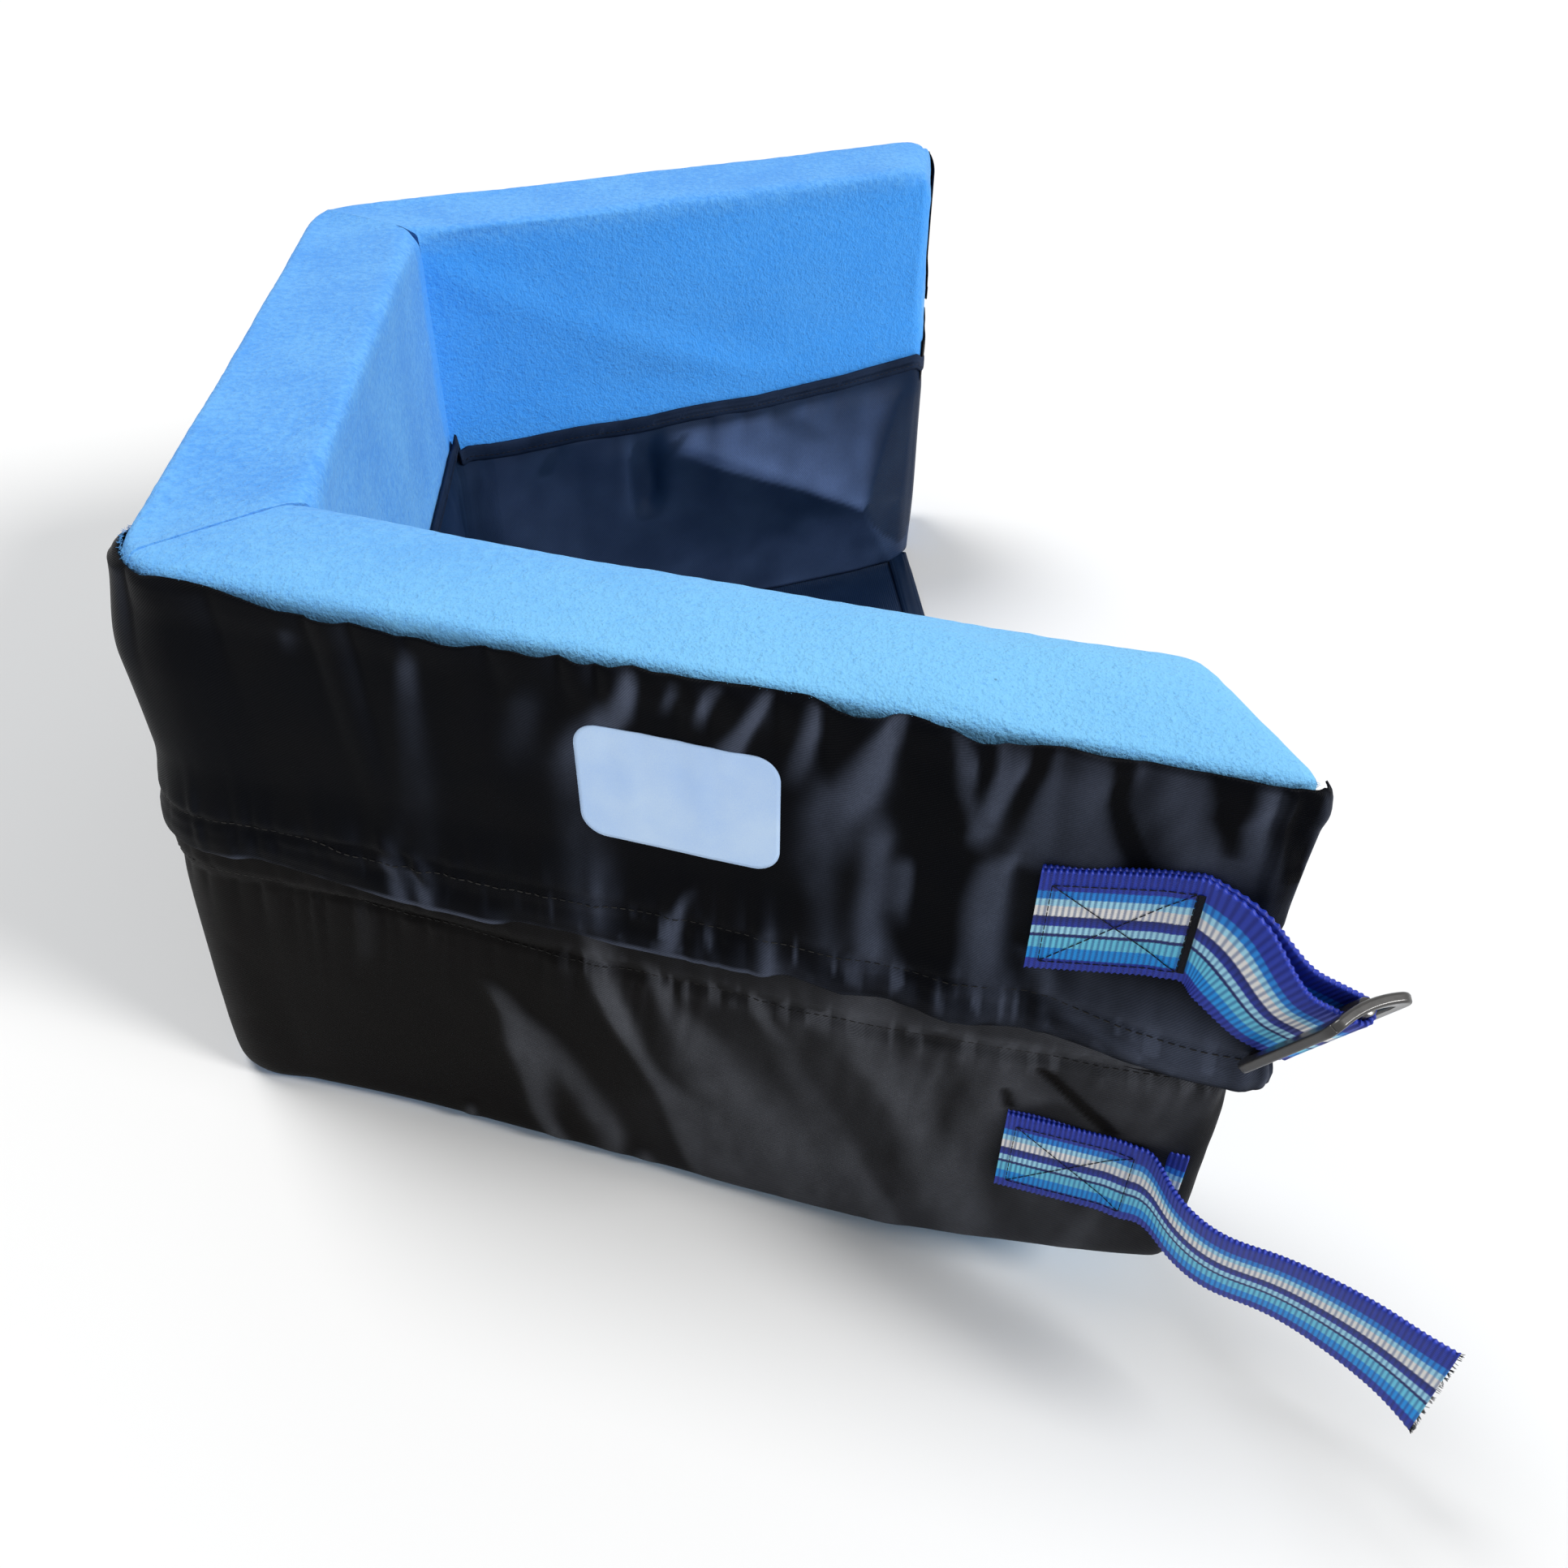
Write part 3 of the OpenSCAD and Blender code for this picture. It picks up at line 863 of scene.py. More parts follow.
@dataclass(frozen=True)
class FleeceFinish:
    """Anti-pill fleece: a soft pebbled nap with a few dark specks."""

    name: str = "light_blue_fleece"
    base: Colour = rgb(0.066, 0.285, 0.75)
    pale: Colour = rgb(0.130, 0.400, 0.81)
    painted_highlight_tint: Colour = rgb(0.215, 0.550, 0.83)
    painted_shade_tint: Colour = rgb(0.040, 0.325, 0.93)
    speck: Colour = rgb(0.02, 0.06, 0.14)

    def make(self) -> bpy.types.Material:
        """Builds the material.

        Returns:
            The material.
        """
        g = Graph(bpy.data.materials.new(self.name))
        p = g.place()
        nap, curl, cloud = g.noise(p, 420.0, 3.0), g.noise(p, 1100.0, 2.0), g.noise(p, 26.0, 2.0)
        colour = (nap * 0.7 + cloud * 0.45).step(0.36, 0.80).blend(self.base, self.pale)
        x, y, z = g.parts(p)
        # Painted highlight: the front leg's fleece is paler, standing in for the brighter light on its top.
        colour = ((0 - y).step(0.10, 0.24) * 0.75).blend(colour, self.painted_highlight_tint)
        # Painted shade: the rear leg's inner face below its top edge is a deeper blue.
        a = math.radians(WALL.angle)
        inward = (x + WALL.depth * MM) * -math.cos(a) + (HALF * MM - y) * math.sin(a)
        inside = inward.step(0.046, 0.056) * (1 - inward.step(0.062, 0.070)) * (1 - z.step(0.220, 0.236))
        colour = (inside * 0.7).blend(colour, self.painted_shade_tint)
        colour = (curl.step(0.56, 0.72) * 0.30).blend(colour, rgb(0.040, 0.22, 0.66))
        spots = g.node("ShaderNodeTexVoronoi", {}, out="Distance", Vector=p, Scale=34.0)
        rare = g.node("ShaderNodeTexVoronoi", {}, out="Color", Vector=p, Scale=34.0)
        chance = g.parts(rare, 1)[0].step(0.80, 0.82)
        mark = (1 - (spots + curl * 0.012).step(0.016, 0.024)) * chance
        colour = (mark * 0.75).blend(colour, self.speck)
        height = nap * 0.6 + curl * 0.4
        return g.surface(Base_Color=colour, Roughness=0.92, Normal=g.bump(height, 0.0014, 0.85),
                         Sheen_Weight=0.22, Sheen_Roughness=0.6,
                         Sheen_Tint=rgb(0.55, 0.80, 1.0), Specular_IOR_Level=0.08)


@dataclass(frozen=True)
class NylonFinish:
    """Coated nylon twill with a satin face."""

    name: str
    base: Colour
    worn: Colour
    sheen_colour: Colour
    roughness: float = 0.42
    specular: float = 0.10
    twill: float = 0.0007
    depth: float = 0.00010

    def make(self) -> bpy.types.Material:
        """Builds the material.

        Returns:
            The material.
        """
        g = Graph(bpy.data.materials.new(self.name))
        along, across = g.cloth()
        p = g.place()
        cloud, grain = g.noise(p, 38.0, 3.0), g.noise(p, 900.0, 2.0)
        line = (along * 0.62 + across * 0.78).wave(self.twill, grain * 1.6)
        thread = (along * 0.78 - across * 0.62).wave(self.twill * 0.8)
        height = line * 0.75 + thread * 0.15 + grain * 0.25
        colour = (cloud.step(0.35, 0.75) * 0.7 + line * 0.25).blend(self.base, self.worn)
        # Painted highlights and shade: the attribute blends the colour towards the sheen colour on folds and
        # leaves it at the base colour in creases.
        painted_sheen = g.node("ShaderNodeAttribute", {"attribute_name": "painted_sheen_and_tone"}, out="Fac")
        painted_sheen = painted_sheen.step(0.0, 1.0) * (0.72 + line * 0.28) * (0.55 + cloud * 0.55 + grain * 0.35)
        painted_sheen = painted_sheen.math("MINIMUM", 1.0)
        colour = painted_sheen.blend(colour, self.sheen_colour)
        rough = self.roughness + (cloud - 0.5) * 0.10 + (1 - line) * 0.08 - painted_sheen * 0.06
        return g.surface(Base_Color=colour, Roughness=rough, Normal=g.bump(height, self.depth),
                         Specular_IOR_Level=self.specular, Anisotropic=0.7, Anisotropic_Rotation=0.25)


@dataclass(frozen=True)
class WebbingFinish:
    """Striped woven strap: colours run along it, ribs across it."""

    name: str = "striped_webbing"
    width: float = 0.038
    rib: float = 0.0016

    def stripes(self) -> list[tuple[float, Colour]]:
        """Colours from the lower selvedge to the upper one.

        Returns:
            Place and colour of each stop.
        """
        royal, navy = rgb(0.014, 0.040, 0.42), rgb(0.008, 0.020, 0.17)
        azure, bright = rgb(0.012, 0.27, 0.80), rgb(0.004, 0.33, 0.88)
        turquoise, ice = rgb(0.16, 0.66, 0.90), rgb(0.42, 0.80, 0.98)
        silver = rgb(0.92, 0.90, 0.88)
        return [(0.0, royal), (0.105, royal), (0.115, bright), (0.225, bright), (0.235, turquoise),
                (0.345, turquoise), (0.352, navy), (0.378, navy), (0.386, ice), (0.455, ice),
                (0.465, royal), (0.560, navy), (0.570, silver), (0.665, silver), (0.675, ice),
                (0.735, ice), (0.745, azure), (0.815, azure), (0.826, royal), (1.0, royal)]

    def make(self) -> bpy.types.Material:
        """Builds the material.

        Returns:
            The material.
        """
        g = Graph(bpy.data.materials.new(self.name))
        along, across = g.cloth()
        p = g.place()
        fuzz = g.noise(p, 2600.0, 2.0)
        share = across / self.width + (fuzz - 0.5) * 0.016
        ramp = g.node("ShaderNodeValToRGB", {"stops": self.stripes()}, share)
        rib = along.wave(self.rib)
        yarn = across.wave(0.00055, along.wave(self.rib) * 3.0)
        shade = (rib * 0.75 + yarn * 0.25).step(0.05, 0.75)
        colour = shade.blend(g.node("ShaderNodeMix", {"data_type": "RGBA", "blend_type": "MULTIPLY"},
                                    out="Result_Color", Factor_Float=0.85, A_Color=ramp,
                                    B_Color=rgb(0.24, 0.30, 0.48)), ramp)
        height = yarn * 0.5 + rib * 0.3 + fuzz * 0.3
        return g.surface(Base_Color=colour, Roughness=0.50, Normal=g.bump(height, 0.00022),
                         Sheen_Weight=0.03, Sheen_Roughness=0.35, Specular_IOR_Level=0.35)


@dataclass(frozen=True)
class PlainFinish:
    """A finish of one colour with cloudy variation, a grain and a bump."""

    name: str
    base: Colour
    other: Colour
    roughness: float
    grain: float = 900.0
    depth: float = 0.0001
    metallic: float = 0.0
    coat: float = 0.0
    specular: float = 0.5

    def make(self) -> bpy.types.Material:
        """Builds the material.

        Returns:
            The material.
        """
        g = Graph(bpy.data.materials.new(self.name))
        p = g.place()
        cloud, grain = g.noise(p, 45.0, 3.0), g.noise(p, self.grain, 3.0)
        colour = (cloud * 0.6 + grain * 0.4).step(0.3, 0.7).blend(self.base, self.other)
        return g.surface(Base_Color=colour, Roughness=self.roughness + (grain - 0.5) * 0.12,
                         Normal=g.bump(grain, self.depth), Metallic=self.metallic,
                         Coat_Weight=self.coat, Specular_IOR_Level=self.specular)


class Finish(Enum):
    """The finishes of the surround."""

    FLEECE = FleeceFinish()
    SHELL = NylonFinish("black_satin_nylon", rgb(0.0012, 0.0016, 0.0030), rgb(0.0034, 0.0034, 0.0042),
                        rgb(0.074, 0.088, 0.130), 0.42, 0.03)
    # The lower shell's nylon is a warmer, lighter copy of the upper's: a painted reflection of a brown floor.
    LOWER_SHELL = NylonFinish("black_nylon_floor_reflection", rgb(0.0040, 0.0035, 0.0035), rgb(0.0066, 0.0060, 0.0058),
                              rgb(0.084, 0.088, 0.102), 0.42, 0.03)
    LINER = NylonFinish("navy_satin_nylon", rgb(0.004, 0.013, 0.038), rgb(0.008, 0.021, 0.052),
                        rgb(0.125, 0.200, 0.42), 0.40, 0.06)
    WEBBING = WebbingFinish()
    BINDING = PlainFinish("navy_binding_tape", rgb(0.005, 0.011, 0.028), rgb(0.014, 0.026, 0.058), 0.6,
                          2400.0, 0.00025, specular=0.05)
    FOAM = PlainFinish("open_cell_foam", rgb(0.62, 0.60, 0.52), rgb(0.72, 0.70, 0.62), 0.95,
                       1500.0, 0.0009, specular=0.1)
    HOOK = PlainFinish("hook_tape", rgb(0.006, 0.006, 0.007), rgb(0.01, 0.01, 0.012), 0.8,
                       3000.0, 0.0006, specular=0.08)
    THREAD = PlainFinish("dark_thread", rgb(0.003, 0.003, 0.006), rgb(0.010, 0.011, 0.018), 0.5, 5000.0, 0.0001,
                         specular=0.15)
    SEAM_THREAD = PlainFinish("black_thread", rgb(0.010, 0.010, 0.011), rgb(0.036, 0.034, 0.032), 0.45,
                              5000.0, 0.0001, specular=0.12)
    PLASTIC = PlainFinish("moulded_plastic", rgb(0.012, 0.011, 0.011), rgb(0.020, 0.018, 0.017), 0.30,
                          350.0, 0.00004, coat=0.25)
    FILM = PlainFinish("silver_film", rgb(0.44, 0.64, 0.98), rgb(0.58, 0.76, 1.0), 0.42, 3500.0, 0.00003,
                       metallic=0.25)

    def material(self) -> bpy.types.Material:
        """The finish's material, built once."""
        return bpy.data.materials.get(self.value.name) or self.value.make()


def finish(obj: Piece, body: str | None, slot: str, look: Finish, *replaced: str) -> None:
    """Gives a piece its finish and its body, and reports it.

    Args:
        obj: the piece.
        body: the body that it rides on, or None to leave it unattached.
        slot: the record's material slot; not used.
        look: its finish.
        *replaced: CAD nodes that it stands for.
    """
    obj.data.materials.clear()
    obj.data.materials.append(look.material())
    if body:
        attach(obj, body)
    if replaced:
        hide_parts(*replaced)
    LOG.info("%s: %d faces", obj.name, len(obj.data.polygons))


# ---- the cushion


@dataclass
class FoamPanel:
    """One foam block in its fleece, made in the wall's own space."""

    name: str
    side: int
    step: float = 6.0
    crown: float = 2.6
    skin: float = 3.4
    frames: int = 20
    pressure: float = 4.0
    fold_line: tuple[float, float, float] = (47.5, 66.0, 62.0)
    cuts_near_edges: tuple[float, ...] = (2.5, 5.0, 8.5, 13.0)

    def cuts(self, low: float, high: float, fine: Sequence[float]) -> list[float]:
        """Places to slice a length, closer together at its ends.

        Args:
            low: start of the length.
            high: end of the length.
            fine: distances of the cuts from each end.

        Returns:
            The places in order.
        """
        ends = [low + f for f in fine] + [high - f for f in fine]
        count = max(1, round((high - low - 2 * max(fine)) / self.step))
        inner = np.linspace(low + max(fine), high - max(fine), count + 1)[1:-1]
        return sorted(ends + inner.tolist())

    def block(self) -> Piece:
        """A sliced block, longer than the panel, cut to its mitres.

        Returns:
            The block.
        """
        wall = WALL
        low, high = (-wall.half, wall.half) if self.side == 0 else (-2.0, wall.leg)
        size = (high - low, wall.thick - wall.cover_face, wall.height)
        centre = ((high + low) / 2, (wall.thick + wall.cover_face) / 2, wall.height / 2)
        obj = primitive("cube", f"{self.name}_cover", size=1)
        write(obj, coordinates(obj) * MM * np.array(size) + np.array(centre))
        fine = self.cuts_near_edges
        edges = (self.cuts(low, high, fine), self.cuts(wall.cover_face, wall.thick, fine[:3]),
                 self.cuts(0, wall.height, fine))
        only(obj)
        bpy.ops.object.mode_set(mode="EDIT")
        for axis, places in enumerate(edges):
            for place in places:
                point, way = [0.0, 0.0, 0.0], [0.0, 0.0, 0.0]
                point[axis], way[axis] = place * MM, 1.0
                bpy.ops.mesh.select_all(action="SELECT")
                bpy.ops.mesh.bisect(plane_co=point, plane_no=way)
        for end in ((-1, 1) if self.side == 0 else (-1,)):
            corner = wall.half * end * MM if self.side == 0 else 0.0
            bpy.ops.mesh.select_all(action="SELECT")
            bpy.ops.mesh.bisect(plane_co=(corner, 0, 0), plane_no=(end, wall.mitre, 0), clear_outer=True,
                                threshold=0.00001)
        bpy.ops.object.mode_set(mode="OBJECT")
        return obj

    def shape(self, obj: Piece) -> tuple[Array, Array]:
        """Moves the block to its place and returns its q, y, z and its mitre distance.

        Args:
            obj: the block.

        Returns:
            One row and one distance for each point.
        """
        p = coordinates(obj)
        q = p[:, 0] if self.side == 0 else self.side * (HALF + np.maximum(p[:, 0], 0.001))
        s = np.abs(np.abs(q) - HALF)
        gap = (s - WALL.mitre * p[:, 1]) / math.hypot(1, WALL.mitre)
        write(obj, WALL.place(q, p[:, 1], p[:, 2]))
        return np.stack([q, p[:, 1], p[:, 2]], axis=-1), gap

    def allowed(self, own: Array, gap: Array) -> Array:
        """How far each point may swell.

        Args:
            own: each point's q, y and z.
            gap: distances from the nearer mitre.

        Returns:
            One distance for each point.
        """
        q, y, z = own.T
        top = ease((z - WALL.height + 3) / 3)
        inner = ease((y - WALL.thick + 3) / 3) * ease((z - 128) / 30)
        end = ease((np.abs(q) - END + 3) / 3) * ease((z - 128) / 20)
        top = top * (ease((y - WALL.cover_face) / 10) if self.side < 0 else 1)
        return self.crown * np.maximum.reduce([0.8 * top, inner, 0.7 * end]) * ease(gap / 18 + 0.12)

    def puff(self, obj: Piece, limit: Array) -> None:
        """Swells the fleece by a cloth simulation, no further than its limits.

        Args:
            obj: the cover.
            limit: how far each point may swell.
        """
        rest = coordinates(obj)
        hold = obj.vertex_groups.new(name="hold")
        hold.add([int(i) for i in np.flatnonzero(limit < 0.15)], 1.0, "REPLACE")
        only(obj)
        cloth = obj.modifiers.new("Swell", "CLOTH")
        settings = cloth.settings
        settings.use_pressure, settings.uniform_pressure_force = True, self.pressure
        settings.effector_weights.gravity = 0.0
        settings.vertex_group_mass = hold.name
        settings.quality, settings.mass, settings.bending_stiffness = 4, 0.4, 1.5
        cloth.point_cache.frame_start, cloth.point_cache.frame_end = 1, self.frames
        for number in range(1, self.frames + 1):
            bpy.context.scene.frame_set(number)
        bpy.ops.object.modifier_apply(modifier=cloth.name)
        bpy.context.scene.frame_set(1)
        moved = coordinates(obj) - rest
        length = np.linalg.norm(moved, axis=1) + 1e-9
        share = np.tanh(length / (limit + 1e-6)) * limit / length
        write(obj, rest + moved * share[:, None])
        obj.vertex_groups.clear()

    def crease(self, own: Array) -> Array:
        """Depth of the shallow fold near the inner top edge, and of the mitre seams.

        Args:
            own: each point's q, y and z.

        Returns:
            One depth for each point.
        """
        q, y, z = own.T
        girth = np.where(z > WALL.height - 1, y, WALL.thick + WALL.height - z)
        wander = Noise(3 + self.side)
        line = self.fold_line[self.side] + 2.4 * wander(q / 55, q * 0)
        upper = np.maximum(ease((z - WALL.height + 1) / 1), ease((y - WALL.thick + 1) / 1))
        fold = hill(girth - line, 1.5) - 0.6 * hill(girth - line + 3.4, 2.6)
        return -0.75 * fold * upper * (0.6 + 0.4 * wander(q / 30, q * 0 + 7))

    def build(self) -> None:
        """Makes the fleece cover and the foam inside it."""
        obj = self.block()
        own, gap = self.shape(obj)
        limit = self.allowed(own, gap)
        self.puff(obj, limit)
        seam = -0.25 * hill(gap, 1.6)
        slack = Noise(11 + self.side)
        q, y, z = own.T
        soft = 0.7 * slack(q / 38, (z + y) / 31) * np.where(limit > 0.5, 1, 0)
        write(obj, coordinates(obj) + normals(obj) * (seam + soft)[:, None])
        foam = obj.copy()
        foam.data = obj.data.copy()
        foam.name = foam.data.name = f"{self.name}_foam"
        bpy.context.scene.collection.objects.link(foam)
        foam.data.materials.clear()
        edit(foam, cap_ends)
        face_out(foam)
        edit(foam, lambda: bpy.ops.transform.shrink_fatten(value=-self.skin * MM))
        shade_by_angle(foam)
        modify(obj, "SUBSURF", levels=1, render_levels=1)
        edit(obj, cap_ends)
        face_out(obj)
        fine = self.own_again(obj)
        write(obj, coordinates(obj) + normals(obj) * self.crease(fine)[:, None])
        texture = bpy.data.textures.new("nap", "CLOUDS")
        texture.noise_scale, texture.noise_depth = 0.0055, 2
        modify(obj, "DISPLACE", texture=texture, strength=0.00055, mid_level=0.5,
               texture_coords="LOCAL")
        write(obj, np.maximum(coordinates(obj), (-1e4, -1e4, 0.05)))
        shade_by_angle(obj)
        finish(obj, "cushion", "fleece", Finish.FLEECE, f"{self.name}_fleece_cover")
        finish(foam, "cushion", "foam", Finish.FOAM, f"{self.name}_foam_core")

    def own_again(self, obj: Piece) -> Array:
        """Own coordinates of a shaped cover's points, found back from the frame.

        Args:
            obj: the cover.

        Returns:
            One row of q, y and z for each point.
        """
        x, y, z = coordinates(obj).T
        if self.side == 0:
            return np.stack([y, x + WALL.depth, z], axis=-1)
        a = math.radians(WALL.angle)
        u, v = x + WALL.depth, -self.side * y + HALF
        s = math.sin(a) * u + math.cos(a) * v
        return np.stack([self.side * (HALF + s), math.sin(a) * v - math.cos(a) * u, z], axis=-1)


def shade_by_angle(obj: Piece, degrees: float = 50.0) -> None:
    """Smooth shading with sharp edges kept."""
    only(obj)
    bpy.ops.object.shade_smooth_by_angle(angle=math.radians(degrees))


# ---- the shells

# Painted highlights on the folds of the front leg's upper shell, then painted shade in its creases; the table
# also raises the folds.
UPPER_SHEENS = tuple(Sheen(knots) for knots in (
    ((236, 101, 2, 3, 0), (228, 99, 3, 3, .34), (214, 96, 3, 4, .18), (160, 89, 5, 7, .1),
     (130, 88, 4, 5, .05)),
    ((234, 63, 2, 2, 0), (230, 62, 2, 3, .25), (222, 60, 2, 3, 0)),
    ((230, 137, 3, 4, 0), (220, 134, 5, 5, .2), (205, 130, 4, 6, .15), (190, 128, 4, 6, 0)),
    ((237, 169, 3, 1.5, .3), (232, 168, 4, 1.5, .55), (220, 163, 7, 3, .7), (210, 158, 8, 3, .65),
     (200, 152, 8, 4, .42), (185, 149, 7, 5, .22), (165, 149, 7, 8, .26), (145, 150, 7, 6, .3),
     (132, 150, 6, 5, .1)),
    ((237, 181, 1.3, 2, .3), (232, 180, 1.6, 2, .5), (222, 176, 2, 2, 0)),
    ((237, 193, 1.6, 2, .5), (230, 190, 2, 2, .6), (219, 186, 2, 2, 0)),
    ((237, 209, 2, 1.3, .3), (230, 205, 3, 1.6, .6), (218, 199, 4, 2, .75), (207, 194, 5, 3, .6),
     (196, 190, 4, 3, 0)),
    ((237, 222, 2, 1.3, .4), (228, 221, 3, 1.6, .6), (216, 218, 3, 2, .55), (202, 214, 3, 2, 0)),
    ((238, 243, 2, 2, .6), (225, 239, 6, 3, .75), (210, 232, 8, 6, .7), (198, 226, 7, 7, .45),
     (180, 222, 6, 6, .25), (150, 226, 5, 5, .22), (140, 228, 4, 4, 0)),
    ((205, 238, 3, 3, 0), (195, 238, 4, 4, .45), (165, 238, 4, 4, .55), (150, 241, 5, 5, .55),
     (136, 244, 4, 4, .1)),
    ((190, 247, 2, 2, 0), (184, 246, 3, 3, .4), (168, 246, 3, 3, .4), (158, 250, 3, 3, 0)),
    ((238, 258, 2, 2, .5), (228, 260, 2, 3, .6), (218, 262, 3, 2, .45), (206, 264, 2, 2, 0)),
    ((238, 272, 3, 2, .3), (228, 272, 4, 3, .55), (215, 270, 4, 3, .55), (203, 267, 3, 3, .35),
     (196, 266, 3, 3, 0)),
    ((237, 288, 7, 8, .3), (222, 287, 9, 9, .42), (205, 284, 10, 12, .42), (196, 286, 8, 12, .3),
     (190, 300, 6, 9, 0)),
    ((200, 279, 3, 1.3, 0), (194, 277, 6, 1.4, .5), (180, 274, 8, 3, .55), (152, 274, 6, 4, .5),
     (136, 280, 5, 4, .05)),
    ((237, 313, 8, 8, .32), (220, 316, 8, 9, .42), (205, 322, 9, 11, .42), (195, 335, 14, 9, .36),
     (180, 350, 8, 8, 0)),
    ((237, 334, 2.5, 2.5, .5), (222, 333, 3, 3, .5), (210, 338, 3, 3, .3), (200, 343, 3, 3, 0)),
    ((237, 351, 5, 8, .35), (200, 355, 5, 6, .3), (180, 356, 5, 6, .2)),
    ((170, 296, 5, 8, 0), (160, 302, 8, 26, .3), (150, 318, 20, 24, .45), (140, 325, 18, 26, .38),
     (128, 333, 20, 22, .2)),
    ((164, 284, 2, 2, .3), (158, 287, 2, 3, .5), (150, 291, 3, 4, .5), (142, 302, 5, 6, .35),
     (134, 330, 6, 8, 0)),
    ((153, 79, 2, 2, 0), (146, 80, 2.4, 2.4, .55), (134, 81, 2.4, 2.4, .5), (129, 82, 2, 2, 0)),
    ((146, 88, 1.6, 1.6, .4), (140, 90, 2, 2, .7), (132, 91, 2, 2, .5), (129, 91, 2, 2, 0)),
    ((160, 182, 2, 2, .1), (150, 177, 2.4, 2.4, .5), (135, 175, 2.4, 2.4, .55), (129, 175, 2, 2, 0)),
    ((152, 204, 3, 3, 0), (145, 206, 3, 3, .35), (132, 208, 4, 4, .2)),
    ((238, 247, 2, 3, -.3), (225, 250, 3, 4, -.4), (205, 256, 4, 5, -.4), (180, 256, 5, 6, -.35),
     (150, 258, 5, 5, -.2)),
    ((238, 265, 1.5, 1.5, -.4), (222, 266, 2, 1.5, -.4), (208, 270, 2, 1.5, -.2)),
    ((238, 279, 1.5, 2, -.45), (220, 277, 2, 2, -.35), (200, 275, 2, 2, -.1)),
    ((238, 299, 2, 2, -.5), (222, 300, 2.5, 2, -.5), (208, 306, 3, 2, -.4), (197, 314, 3, 2, -.1)),
    ((238, 326, 2, 2, -.5), (224, 326, 2, 3, -.5), (212, 330, 2, 3, -.25)),
    ((238, 342, 2, 3, -.5), (222, 344, 2.5, 3, -.45), (205, 350, 3, 3, -.35)),
))
# Painted highlights on the folds of the front leg's lower shell, then painted shade in its creases; the table
# also raises the folds.
LOWER_SHEENS = tuple(Sheen(knots) for knots in (
    ((118, 62, 3, 3, 0), (112, 62, 3, 3, .2), (90, 59, 3, 4, .14), (75, 57, 3, 4, 0)),
    ((92, 106, 3, 3, 0), (85, 109, 4, 5, .32), (75, 113, 4, 7, .48), (60, 116, 5, 9, .58),
     (48, 118, 5, 8, .52), (35, 118, 4, 6, .46), (20, 120, 4, 4, .5), (8, 123, 3, 4, .5), (0, 125, 3, 3, .3)),
    ((78, 120, 3, 4, 0), (68, 125, 4, 5, .3), (52, 133, 6, 6, .33), (38, 140, 6, 6, .33),
     (22, 147, 6, 4, .42), (0, 150, 5, 3, .25)),
    ((132, 147, 3, 5, .1), (120, 149, 3, 6, .5), (108, 148, 3, 5, .55), (98, 151, 3.5, 4, .72),
     (88, 155, 4, 4, .72), (78, 159, 3.5, 3.5, .58), (66, 164, 3, 3, .42), (56, 168, 3, 6, .38),
     (46, 171, 3, 12, .38), (15, 180, 3, 14, .38), (0, 186, 3, 12, .33)),
    ((120, 168, 2, 3, .1), (110, 170, 2, 2, .6), (100, 173, 3, 5, .5), (88, 180, 6, 9, .52),
     (76, 185, 8, 12, .46), (62, 192, 12, 17, .38), (45, 205, 19, 22, .34), (28, 215, 23, 28, .32),
     (0, 225, 23, 28, .32)),
    ((112, 205, 1.6, 1.6, .5), (104, 206, 2, 2, .4), (92, 212, 3, 4, .14), (60, 228, 6, 5, .2),
     (40, 238, 7, 3, .3), (20, 250, 7, 3, .35), (0, 259, 6, 2, .3)),
    ((132, 240, 5, 6, .3), (120, 243, 8, 6, .46), (108, 240, 7, 6, .42), (98, 245, 8, 8, .42),
     (86, 250, 5, 5, .48), (70, 256, 5, 6, .48), (50, 264, 6, 8, .42), (30, 272, 7, 9, .38),
     (0, 282, 8, 8, .32)),
    ((108, 260, 5, 5, .2), (95, 262, 6, 5, .33), (82, 262, 6, 4, .42), (68, 262, 5, 4, .3),
     (58, 262, 4, 4, 0)),
    ((118, 285, 10, 12, .36), (104, 283, 9, 10, .42), (92, 286, 8, 12, .42), (84, 283, 6, 6, .33),
     (55, 276, 6, 5, .33), (20, 284, 6, 4, .26), (0, 288, 5, 4, .1)),
    ((128, 300, 12, 14, .3), (115, 320, 16, 18, .38), (104, 328, 14, 14, .38), (92, 330, 12, 9, .33),
     (80, 333, 10, 6, .25), (70, 338, 6, 5, 0)),
    ((48, 300, 8, 12, .2), (30, 305, 8, 14, .24), (0, 303, 10, 18, .24)),
    ((36, 322, 3, 3, .1), (20, 318, 3, 4, .3), (4, 314, 3, 4, .2)),
    ((16, 89, 2, 2, 0), (10, 89, 2, 2, .4), (0, 88, 2, 2, .4)),
    ((14, 160, 2, 2, 0), (7, 161, 3, 3, .4), (0, 162, 3, 3, .3)),
    ((106, 296, 1.6, 1.6, -.4), (98, 303, 1.6, 2, -.5), (78, 320, 2, 2, -.5)),
    ((93, 286, 1.6, 1.3, -.4), (84, 288, 1.6, 1.3, -.4)),
))


